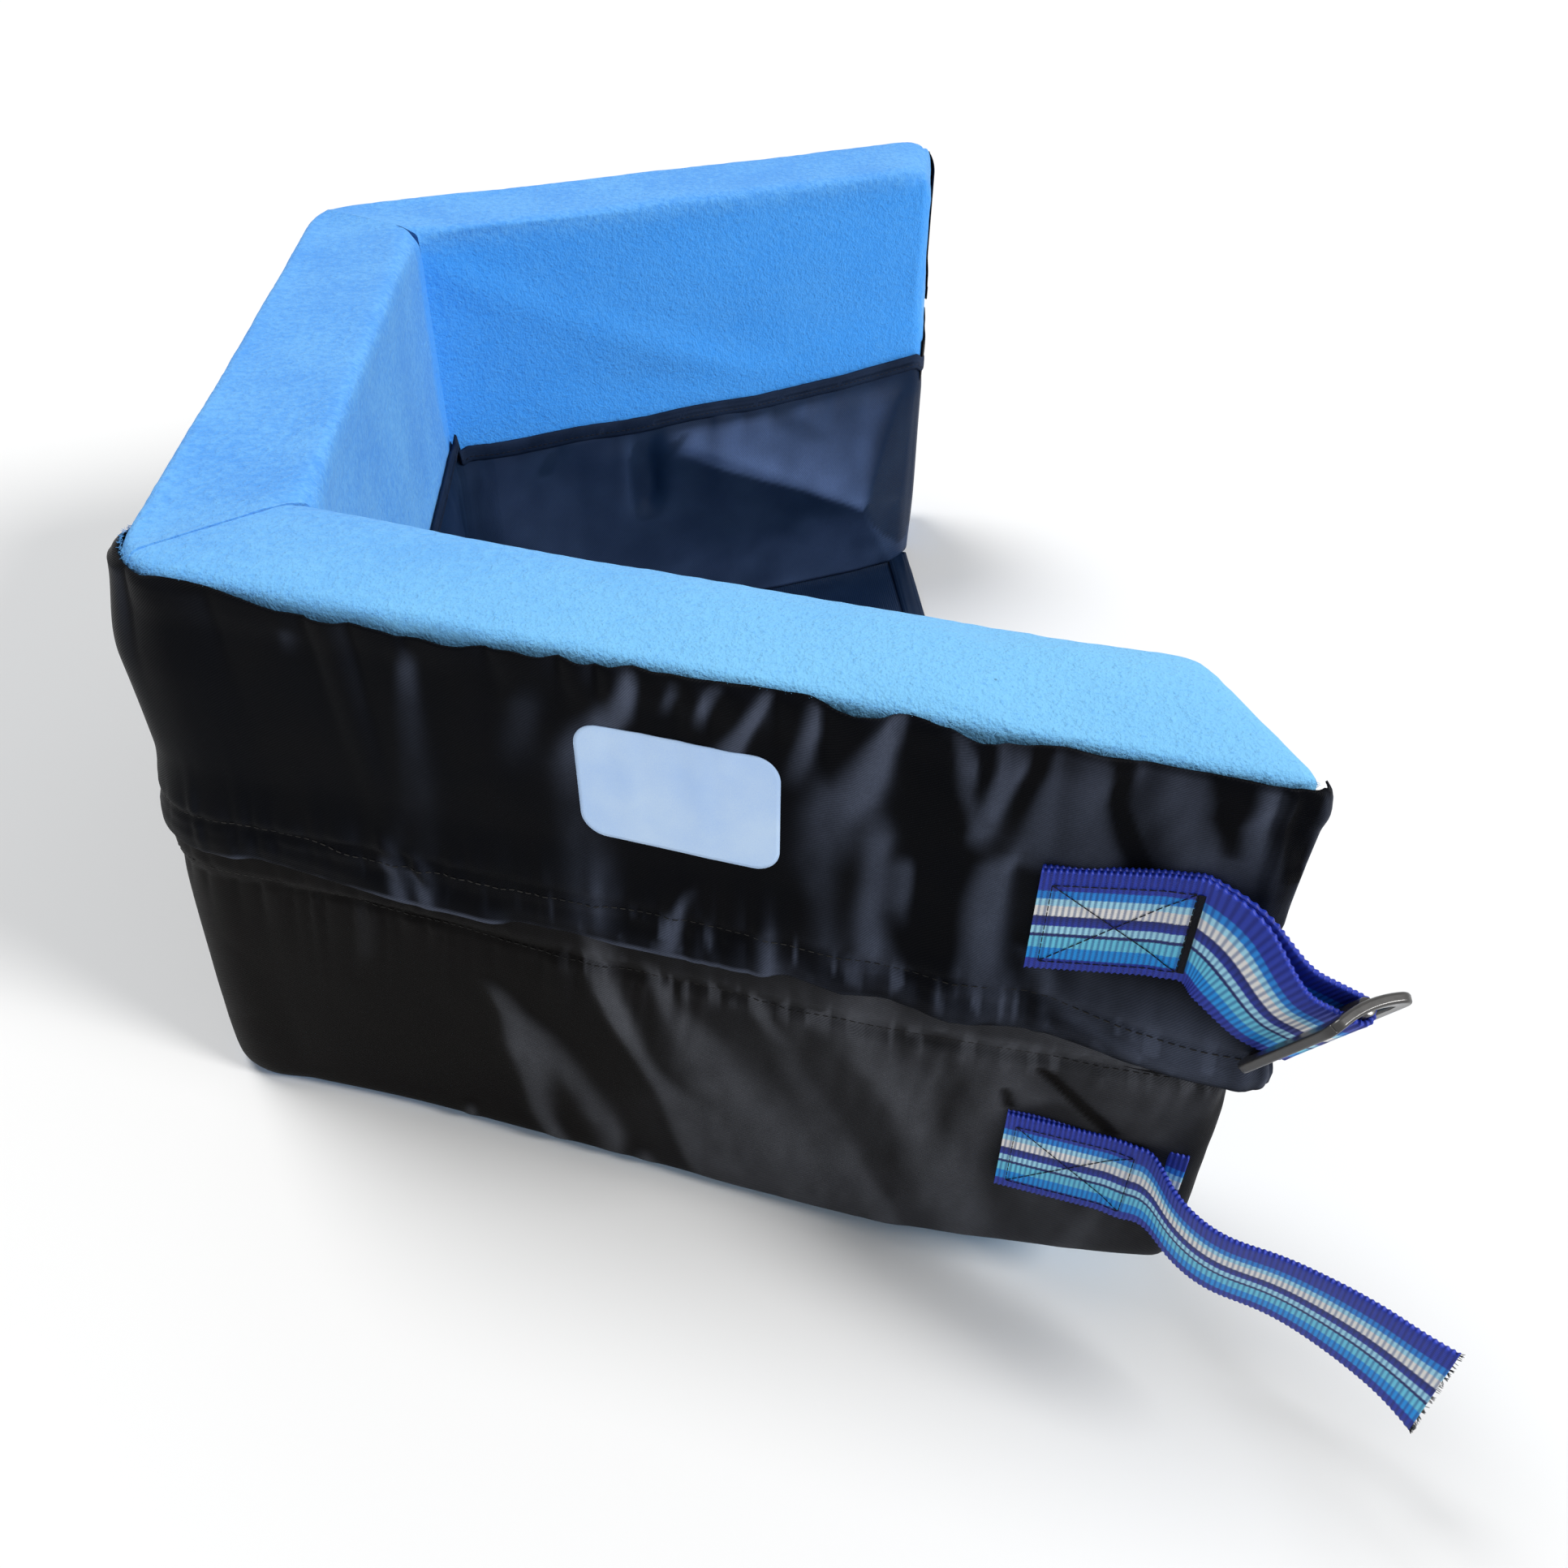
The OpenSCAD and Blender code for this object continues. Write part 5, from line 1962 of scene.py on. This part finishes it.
    def sewing(self, stitcher: Stitcher) -> None:
        """Stitches along the binding.

        Args:
            stitcher: the sewing for its rows of stitches.
        """
        q = WALL.stations(WALL.thick, STITCH_PITCH, 6.0, self.centre)

        def shape(x: Array) -> Array:
            """Middle of a stitch."""
            return self.inner(x, 2.92 + self.bulge(x), self.level(x) - 5.6)

        def up(x: Array) -> Array:
            """Way off the tape."""
            far, near = (self.inner(x, np.full_like(x, off), self.level(x)) for off in (4.0, 2.0))
            return far - near

        finish(stitcher.line("binding_stitches", q, shape, up), "cushion", "binding", Finish.THREAD)

    def floor_point(self, u: Array, v: Array) -> Array:
        """Point of the floor.

        Args:
            u: shares from the middle panel to the free edge.
            v: shares from leg to leg.

        Returns:
            One row of x, y and z for each point.
        """
        a = math.radians(WALL.angle)
        inward = WALL.thick + 0.6
        low = np.array([inward - WALL.depth, inward * WALL.mitre - HALF])
        reach = (WALL.leg - WALL.end_slope * inward) - inward * WALL.mitre
        tip = low + reach * np.array([math.sin(a), math.cos(a)])
        x, y = mix(low[0], tip[0], u), mix(low[1], tip[1], u)
        puff = 5.5 * np.sin(np.pi * np.clip(u, 0, 1)) ** 0.7 * (1 - v * v) ** 0.7
        wave = 1.6 * self.drape(x / 55, v * 4) + 1.0 * self.drape(x / 24 + 9, v * 9)
        edge = np.minimum(1, (1 - np.abs(v)) * 9) * np.minimum(1, u * 8 + 0.05)
        return np.stack([x, -y * v, 0.5 + np.maximum(0, (puff + wave + 1.2) * edge)], axis=-1)

    def floor(self) -> None:
        """The floor's cloth and the hem along its free edge."""
        reach = 240.0
        share = self.hem_width / reach
        columns, rows = np.linspace(0, 1, 61), np.linspace(-1, 1, 101)
        cloth = sheet("floor_cloth", columns * reach, rows, lambda u, v: self.floor_point(u / reach, v))
        painted_sheen_and_tone(cloth, 0.12 + 0.05 * self.drape(*np.meshgrid(columns * 7, rows * 5)))
        section = np.linspace(0, 2 * math.pi, 15)

        def shape(v: Array, row: Array) -> Array:
            """Point of the hem's outline.

            Args:
                v: shares from leg to leg.
                row: number of the row across the sheet.

            Returns:
                One row of x, y and z for each point.
            """
            turn = section[np.clip(row, 0, len(section) - 1).astype(int)]
            base = self.floor_point(1 - share / 2 + squared(np.cos(turn), 0.5) * share / 2, v)
            return base + np.stack([0 * v, 0 * v, 0.4 + 0.95 * np.sin(turn)], axis=-1)

        hem = sheet("floor_hem_cloth", np.linspace(-1, 1, 181), np.arange(15.0), shape, closed=True)
        finish(hem, "cushion", "liner_nylon", Finish.LINER, "floor_hem")
        cut_cloth(cloth, (columns, rows), LINER_PLY, "liner_nylon", Finish.LINER, "floor_panel",
                  held="laid", rests_on=["liner_cloth"], with_pieces=[hem])

    def build(self, stitcher: Stitcher) -> None:
        """Makes all pieces of the lining.

        Args:
            stitcher: the sewing for its rows of stitches.
        """
        self.liner()
        self.binding()
        self.sewing(stitcher)
        self.floor()


# ---- straps


@dataclass
class Webbing:
    """Striped webbing laid along a path, with ribs across it and looped selvedges."""

    width: float = 38.0
    thick: float = 1.5
    rib: float = 1.6
    rib_height: float = 0.17
    parts: int = 6
    across: int = 20

    def lay(self, name: str, length: float, point: Callable[[Array, Array], Array]) -> Piece:
        """Lays the webbing.

        Args:
            name: the piece's name.
            length: length of the path.
            point: gives the point at a distance along the path and across the strap.

        Returns:
            The piece.
        """
        columns = np.linspace(0, length, int(length / self.rib * self.parts) + 1)
        zero = np.zeros_like(columns)
        mid = point(columns, zero)
        way = np.gradient(mid, axis=0)
        side = point(columns, zero + 1) - point(columns, zero - 1)
        side /= np.linalg.norm(side, axis=1, keepdims=True)
        face = np.cross(way, side)
        face /= np.linalg.norm(face, axis=1, keepdims=True)
        half = self.width / 2
        flat = np.linspace(-1, 1, self.across + 1)
        edge = np.linspace(0, math.pi, 5)[1:-1]
        one, end = np.ones(len(flat)), np.ones(len(edge))
        over = np.concatenate([flat, end, flat[::-1], -end, flat[:1]])
        up = np.concatenate([one, np.cos(edge), -one, -np.cos(edge), [1]])
        bow = np.concatenate([flat * 0, np.sin(edge), flat * 0, -np.sin(edge), [0]])
        count = len(columns)
        index = np.arange(len(over), dtype=float)

        def shape(x: Array, row: Array) -> Array:
            """Point of the webbing's outline.

            Args:
                x: places along the webbing.
                row: number of the row across the sheet.

            Returns:
                One row of x, y and z for each point.
            """
            i = np.clip(np.round(x / length * (count - 1)).astype(int), 0, count - 1)
            k = row.astype(int)
            wave = np.abs(np.cos(np.pi * x / self.rib)) ** 0.7
            loop = 0.30 * np.cos(2 * np.pi * x / self.rib)
            near = ease((np.abs(over[k]) - 0.84) / 0.12)
            lift = self.rib_height * wave + 0.12 * near * np.cos(2 * np.pi * x / self.rib)
            high = up[k] * (self.thick / 2 - self.rib_height * 0.5 + lift)
            wide = over[k] * (half - 0.5) + bow[k] * (0.45 + loop)
            return mid[i] + side[i] * wide[:, None] + face[i] * high[:, None]

        return sheet(name, columns, index, shape, closed=True, across=over * half + half)


@dataclass
class Strap:
    """What both straps share: a sewn end, a tack, and a free part turned about its hinge line."""

    side: int
    turned: float
    tack: float
    sewn: float
    level: float
    hinge: float = 0.7
    clearance: float = 0.3
    bend: float = 9.0
    web: Webbing = field(default_factory=Webbing)

    @property
    def name(self) -> str:
        """The leg's name."""
        return "front" if self.side < 0 else "rear"

    def point(self, s: Array, out: Array, z: Array) -> Array:
        """Point in the frame from places along, out from and up the leg.

        Args:
            s: places along the leg.
            out: distances outwards.
            z: heights.

        Returns:
            One row of x, y and z for each point.
        """
        a = math.radians(WALL.angle)
        s, out, z = np.broadcast_arrays(s, out, z)
        px = math.sin(a) * s + math.cos(a) * out - WALL.depth
        py = math.cos(a) * s - math.sin(a) * out - HALF
        return np.stack([px, -self.side * py, z], axis=-1)

    def swing(self, s: Array, out: Array) -> tuple[Array, Array]:
        """Turns strap points outwards about the hinge line, easing in over the bend.

        Args:
            s: places along the leg.
            out: places out from it.

        Returns:
            The turned places.
        """
        angle = math.radians(self.turned) * ease((s - self.tack + 1.5) / self.bend)
        ds, do = s - self.tack, out - self.hinge
        return (self.tack + ds * np.cos(angle) - do * np.sin(angle),
                self.hinge + ds * np.sin(angle) + do * np.cos(angle))

    def free(self, part: str, length: float, body: str, *nodes: str) -> None:
        """Lays webbing, finishes it and bakes its place into its mesh.

        Args:
            part: the piece's name without the leg's.
            length: length of the strap's path.
            body: the body's name without the leg's; not used.
            *nodes: CAD nodes that it stands for, without the leg's name.
        """
        obj = self.web.lay(f"{self.name}_{part}", length, self.path)
        finish(obj, None, "webbing", Finish.WEBBING, *(f"{self.name}_{node}" for node in nodes))
        lead, half = self.tack - 2.0, math.radians(self.turned) / 2
        start = self.point(lead, self.hinge, self.level)
        stop = self.point(lead + self.bend * math.cos(half), self.hinge + self.bend * math.sin(half),
                          self.level)
        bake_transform(obj)

    def sew(self, part: str, stitcher: Stitcher, box: tuple[float, float, float, float],
            bars: Sequence = ()) -> None:
        """Sews a box with a cross, and single bar stitches, through the sewn end.

        Args:
            part: the piece's name without the leg's.
            stitcher: makes the stitches.
            box: the box's left, right, low and high side.
            bars: pairs of places along and across the strap, one stitch each.
        """
        left, right, low, high = box
        corners = [(left, low), (right, low), (right, high), (left, high)]
        sides = [(corners[i], corners[(i + 1) % 4]) for i in range(4)]
        places, ways = [], []
        for (x0, w0), (x1, w1) in sides + [(corners[0], corners[2]), (corners[3], corners[1])]:
            count = max(2, round(math.hypot(x1 - x0, w1 - w0) / 2.4))
            for k in range(count):
                share = (k + 0.5) / count
                places.append((mix(x0, x1, share), mix(w0, w1, share)))
                ways.append((x1 - x0, w1 - w0))
        for (x0, w0), (x1, w1) in bars:
            places.append(((x0 + x1) / 2, (w0 + w1) / 2))
            ways.append((x1 - x0, w1 - w0))
        p, d = np.array(places, float), np.array(ways, float)
        d /= np.linalg.norm(d, axis=1, keepdims=True)
        at = self.path(p[:, 0], p[:, 1])
        ahead = self.path(p[:, 0] + d[:, 0] * 0.5, p[:, 1] + d[:, 1] * 0.5)
        up = np.tile(self.point(0.0, 1.0, 0.0) - self.point(0.0, 0.0, 0.0), (len(p), 1))
        obj = stitcher.sew(f"{self.name}_{part}", at + up, ahead - at, up)
        finish(obj, "cushion", "webbing", Finish.THREAD)


@dataclass
class BuckleStrap(Strap):
    """Short strap: a sewn end, a bight round the slider's middle bar, and the slider."""

    tack: float = 325.0
    sewn: float = 41.0
    level: float = 183.5
    climb: float = 9.0
    bight: float = 40.0
    droop: float = 20.0
    lean: float = 20.0
    stand: float = 9.7
    turn: float = 3.6
    start: float = -0.2
    webbing: float = 1.6
    tilt: float = 45.0

    def spot(self, u: Array, v: Array, w: Array) -> tuple[Array, Array, Array]:
        """Place of a strap's point on its leg.

        Args:
            u: distances past the tack.
            v: distances outwards.
            w: places across the webbing.

        Returns:
            Places along the leg, distances out from it and heights.
        """
        lean = np.radians(self.lean * ease(u / self.bight * 1.43))
        skew = np.radians(self.droop * ease(u / self.bight * 2.85))
        droop = math.radians(self.droop)
        out, up = v * np.cos(lean) + w * np.sin(lean), w * np.cos(lean) - v * np.sin(lean)
        free = ease((u + 4) / 8)
        s = self.tack + self.clearance * free + u * mix(1, math.cos(droop), free) + up * np.sin(skew)
        z = self.level + mix(u * self.climb / self.sewn, -u * math.sin(droop), free) + up * np.cos(skew)
        return *self.swing(s, out), z

    def layers(self, u: Array) -> tuple[Array, Array]:
        """Middle of the two layers and half the distance between them.

        Args:
            u: distances past the tack.

        Returns:
            The two distances at each place.
        """
        x = u / self.bight * 1.33
        middle = mix(self.start, self.stand, ease(x))
        apart = mix(self.webbing / 2, self.turn, ease(x))
        sunk = -1.0 * ease(-u / 10)
        return middle + sunk, apart

    def path(self, x: Array, w: Array) -> Array:
        """Point at a distance along the whole loop, starting at the outer sewn end.

        Args:
            x: distances along the loop.
            w: places across the webbing.

        Returns:
            One row of x, y and z for each point.
        """
        run = self.sewn + self.bight
        arc = math.pi * self.turn
        u_out, u_back = x - self.sewn, run + arc - x + self.bight
        u = np.where(x < run, u_out, np.where(x > run + arc, u_back, self.bight))
        middle, apart = self.layers(u)
        a = np.clip((x - run) / arc, 0, 1) * math.pi
        v = middle + apart * np.cos(a)
        u = u + self.turn * np.sin(a)
        return self.point(*self.spot(u, v, w))

    def matrix(self) -> Matrix:
        """Place of the slider: its own x along it, y through it, z across it.

        Returns:
            The matrix, in millimetres.
        """
        turn = (Matrix.Rotation(math.radians(-self.turned), 4, "Z")
                @ Matrix.Rotation(math.radians(self.droop), 4, "Y")
                @ Matrix.Rotation(math.radians(self.lean), 4, "X")
                @ Matrix.Rotation(math.radians(self.tilt), 4, "Z"))
        s, out, z = self.spot(self.bight, self.stand, 0.0)
        return Matrix.Translation((s, -out, z)) @ turn

    def slider(self) -> None:
        """Bowed three-bar slider, modelled flat and bent to its bow."""
        length, bar, rail, inner, thick, bow, pin, corner = 28.5, 4.5, 3.7, 39.6, 3.0, 40.0, 5.0, 4.6
        half, side = length / 2, inner / 2
        xs = [-half, -half + bar, half - bar, half]
        zs = [-side - rail, -side, side, side + rail]
        obj = primitive("grid", f"{self.name}_slider_body", x_subdivisions=3, y_subdivisions=3, size=1)
        i, j = np.tile(np.arange(4), 4), np.repeat(np.arange(4), 4)
        write(obj, np.stack([np.array(xs)[i], np.zeros(16), np.array(zs)[j]], axis=-1))
        for kind in (obj.data.vertices, obj.data.edges, obj.data.polygons):
            kind.foreach_set("select", np.zeros(len(kind), bool))
        obj.data.polygons[4].select = True
        bpy.ops.object.mode_set(mode="EDIT")
        bpy.ops.mesh.select_mode(type="FACE")
        bpy.ops.mesh.delete(type="ONLY_FACE")
        bpy.ops.object.mode_set(mode="OBJECT")
        modify(obj, "SOLIDIFY", thickness=thick * MM, offset=0)
        edit(obj, lambda: bpy.ops.mesh.subdivide(number_cuts=3))
        modify(obj, "BEVEL", width=1.05 * MM, segments=3, limit_method="ANGLE",
               angle_limit=math.radians(60))
        modify(obj, "SUBSURF", levels=1, render_levels=1)
        p = coordinates(obj)
        x, z = WALL.plate(p[:, 0], p[:, 2], half, side + rail, corner)
        angle, radius = x / bow, bow + p[:, 1]
        write(obj, np.stack([radius * np.sin(angle), radius * np.cos(angle) - bow, z], axis=-1))
        middle = primitive("cylinder", "middle_bar", vertices=28, radius=pin / 2 * MM,
                           depth=(inner + rail) * MM)
        modify(middle, "BEVEL", width=0.4 * MM, segments=2, limit_method="ANGLE")
        only(obj)
        middle.select_set(True)
        bpy.ops.object.join()
        p = np.array([self.matrix() @ Vector(c) for c in coordinates(obj)])
        write(obj, self.point(p[:, 0], -p[:, 1], p[:, 2]))
        face_out(obj)
        shade_by_angle(obj, 40)
        finish(obj, f"{self.name}_slider", "slider_plastic", Finish.PLASTIC, f"{self.name}_slider")

    def build(self, stitcher: Stitcher) -> None:
        """Makes the strap, its box, cross and bar tack, and the slider.

        Args:
            stitcher: the sewing for its rows of stitches.
        """
        half, end = self.web.width / 2, self.sewn
        low = -half + 3.5
        self.free("buckle_webbing", 2 * (end + self.bight) + math.pi * self.turn, "buckle_strap",
                  "upper_strap_base", "upper_strap_bight")
        bars = [((end - 0.6, low + k * 0.36), (end + 0.9, low + k * 0.36 + 0.3)) for k in range(82)]
        self.sew("buckle_stitches", stitcher, (3.5, end - 1.0, low, half - 5.0), bars)
        self.slider()


@dataclass
class FreeStrap(Strap):
    """Long strap: a sewn end with a loose layer under it, and a tail that stands on edge."""

    tack: float = 330.0
    sewn: float = 42.5
    level: float = 69.5
    under: float = 14.0
    reach: float = 100.0
    stand: float = 0.9
    lift: float = 1.3
    bends: tuple[float, ...] = (0.1245, -0.0256, -0.0326, 0.0152, 0.0067, 0.0096, -0.0017)
    twists: tuple[float, ...] = (-0.0202, -0.0013, -0.0004, 0.0018, 0.0043, 0.0043, 0.0145)
    steps: int = 120

    def __post_init__(self) -> None:
        """Runs the tail out from its stitches: webbing only bends across its face and twists."""
        step = self.reach / self.steps
        lift = math.radians(self.lift)
        way, side = Vector((math.cos(lift), 0, -math.sin(lift))), Vector((math.sin(lift), 0, math.cos(lift)))
        spot = Vector((self.tack + self.clearance, self.stand, self.level))
        spots, sides = [spot.copy()], [side.copy()]
        for i in range(self.steps):
            bend, twist = (self.knot(values, (i + 0.5) / self.steps) for values in (self.bends, self.twists))
            way.rotate(Matrix.Rotation(bend * step, 3, side))
            side.rotate(Matrix.Rotation(twist * step, 3, way))
            spot = spot + way * step
            spots.append(spot.copy())
            sides.append(side.copy())
        self.run = np.linspace(0, self.reach, self.steps + 1)
        self.spots, self.sides = np.array(spots), np.array(sides)

    @staticmethod
    def knot(values: Sequence[float], share: float) -> float:
        """Value at a share of the length, eased from one knot to the next.

        Args:
            values: one number for each knot.
            share: share of the length.

        Returns:
            The value there.
        """
        at = share * (len(values) - 1)
        low = min(int(at), len(values) - 2)
        return float(mix(values[low], values[low + 1], ease(at - low)))

    def path(self, x: Array, w: Array) -> Array:
        """Point along the strap from its sewn end and across it.

        Args:
            x: distances along the strap.
            w: places across the webbing.

        Returns:
            One row of x, y and z for each point.
        """
        x = x - self.sewn
        spot = np.stack([np.interp(x, self.run, column) for column in self.spots.T])
        side = np.stack([np.interp(x, self.run, column) for column in self.sides.T])
        side = mix(np.array([[0.0], [0.0], [1.0]]), side, ease((x + 6) / 12))
        s = spot[0] + np.minimum(x, 0) - self.clearance * ease(-x / 4)
        out = mix(-0.4, spot[1], ease((x + 10) / 10))
        return self.point(*self.swing(s + w * side[0], out + w * side[1]), spot[2] + w * side[2])

    def under_layer(self) -> None:
        """The loose layer under the tail's start."""

        def path(x: Array, w: Array) -> Array:
            """Point along the layer and across it.

            Args:
                x: distances along the layer.
                w: places across the webbing.

            Returns:
                One row of x, y and z for each point.
            """
            s = self.tack - self.sewn + x
            out = -2.0 + 1.6 * ease((x - self.sewn) / self.under) ** 2
            return self.point(s, out, self.level + w)

        obj = self.web.lay(f"{self.name}_under_webbing", self.sewn + self.under, path)
        finish(obj, "cushion", "webbing", Finish.WEBBING, f"{self.name}_lower_strap_base")

    def fray(self) -> None:
        """Loose threads at the tail's cut end."""
        rng = np.random.default_rng(93)
        count, half = 90, self.web.width / 2
        w = np.concatenate([rng.uniform(-half, half, count - 20), rng.uniform(-half - 0.5, -half + 3, 20)])
        x = np.full(count, self.sewn + self.reach - 0.1)
        spots = self.path(x, w)
        ahead, side = spots - self.path(x - 1, w), self.path(x, w + 0.5) - self.path(x, w - 0.5)
        out = np.cross(ahead, side)
        ways = (ahead + side * rng.uniform(-0.8, 0.6, (count, 1)) + out * rng.uniform(-0.7, 0.7, (count, 1)))
        obj = Stitcher(2.8, 0.26, 4).sew(f"{self.name}_frayed_end", spots, ways, out + side * 0.2)
        finish(obj, f"{self.name}_free_strap", "webbing", Finish.THREAD)

    def build(self, stitcher: Stitcher) -> None:
        """Makes the strap, the layer under it, its frayed end and its sewing.

        Args:
            stitcher: the sewing for its rows of stitches.
        """
        half = self.web.width / 2
        self.free("free_webbing", self.sewn + self.reach, "free_strap", "lower_strap_tail")
        self.fray()
        self.under_layer()
        self.sew("free_strap_stitches", stitcher, (3.5, self.sewn - 2.0, -half + 4.0, half - 5.0))


# ---- studio


@dataclass(frozen=True)
class Studio:
    """Pale floor, soft light and the camera."""

    floor_size: float = 14.0
    lens: float = 30.99
    pitch: float = 0.8753539
    roll: float = 0.0188974
    yaw: float = -0.0912519
    eye: tuple[float, float, float] = (0.00208, -0.52507, 0.44144)

    def camera(self) -> None:
        """Adds the camera at its viewing angle."""
        bpy.ops.object.camera_add()
        camera = bpy.context.object
        camera.name = "camera"
        camera.data.lens, camera.data.sensor_width = self.lens, 36.0
        camera.data.clip_start, camera.data.clip_end = 0.01, 100.0
        turn = (Matrix.Rotation(self.yaw, 4, "Z") @ Matrix.Rotation(self.pitch, 4, "X")
                @ Matrix.Rotation(self.roll, 4, "Z"))
        camera.matrix_world = Matrix.Translation(self.eye) @ turn
        bpy.context.scene.camera = camera

    def floor(self) -> None:
        """Adds the floor."""
        floor = primitive("grid", "studio_floor", x_subdivisions=8, y_subdivisions=8, size=self.floor_size)
        g = Graph(bpy.data.materials.new("pale_floor"))
        cloud = g.noise(g.place(), 3.0)
        floor.data.materials.append(g.surface(
            Base_Color=cloud.blend(rgb(0.80, 0.80, 0.80), rgb(0.82, 0.82, 0.82)), Roughness=0.9,
            Specular_IOR_Level=0.1))

    def light(self, name: str, way: Sequence[float], angle: float, level: float,
              colour: tuple[float, float, float] = (1, 1, 1)) -> None:
        """Adds a far lamp that shines from a direction.

        Args:
            name: the lamp's name.
            way: direction towards the lamp.
            angle: its width as seen from the object, in degrees.
            level: its light on a surface that faces it, where 1 shows a colour as written.
            colour: its colour.
        """
        bpy.ops.object.light_add(type="SUN", location=Vector(way) * 3)
        lamp = bpy.context.object
        lamp.name = name
        lamp.data.energy, lamp.data.angle, lamp.data.color = level * math.pi, math.radians(angle), colour
        lamp.rotation_mode = "QUATERNION"
        lamp.rotation_quaternion = (-Vector(way)).to_track_quat("-Z", "Y")

    def world(self) -> None:
        """White to the camera, dimmer as light."""
        world = bpy.data.worlds.new("soft_room")
        bpy.context.scene.world = world
        g = Graph(world)
        camera, glossy, through = (g.node("ShaderNodeLightPath", out=f"Is {ray} Ray")
                                   for ray in ("Camera", "Glossy", "Transmission"))
        seen = camera.math("MAXIMUM", glossy).math("MAXIMUM", through)
        dim = g.node("ShaderNodeBackground", {}, rgb(0.94, 0.97, 1.0), 0.36)
        white = g.node("ShaderNodeBackground", {}, rgb(1.0, 1.0, 1.0), 1.0)
        g.end("ShaderNodeOutputWorld", g.node("ShaderNodeMixShader", {}, seen, dim, white))

    def build(self) -> None:
        """Sets the studio up."""
        self.camera()
        self.floor()
        self.world()
        self.light("key", (0.75, -0.38, 0.55), 16.0, 0.78, (1.0, 0.985, 0.96))
        self.light("top", (-0.30, 0.28, 0.91), 24.0, 0.56, (1.0, 1.0, 1.0))
        bpy.context.scene.view_settings.view_transform = "Standard"


def main() -> None:
    """Builds every sub-assembly in order."""
    logging.basicConfig(level=logging.INFO, format="%(name)s: %(message)s")
    Studio().build()
    for name, side in (("front", -1), ("side", 0), ("rear", 1)):
        FoamPanel(name, side).build()
    seam, thread = Stitcher(2.0, 0.40), Stitcher(2.2, 0.34)
    OuterShell().build(seam)
    Lining().build(seam)
    for kind, folded in ((BuckleStrap, 95.0), (FreeStrap, 100.0)):
        for side, turned in ((-1, 0.0), (1, folded)):
            kind(side, turned).build(thread)


if __name__ == "__main__":
    main()
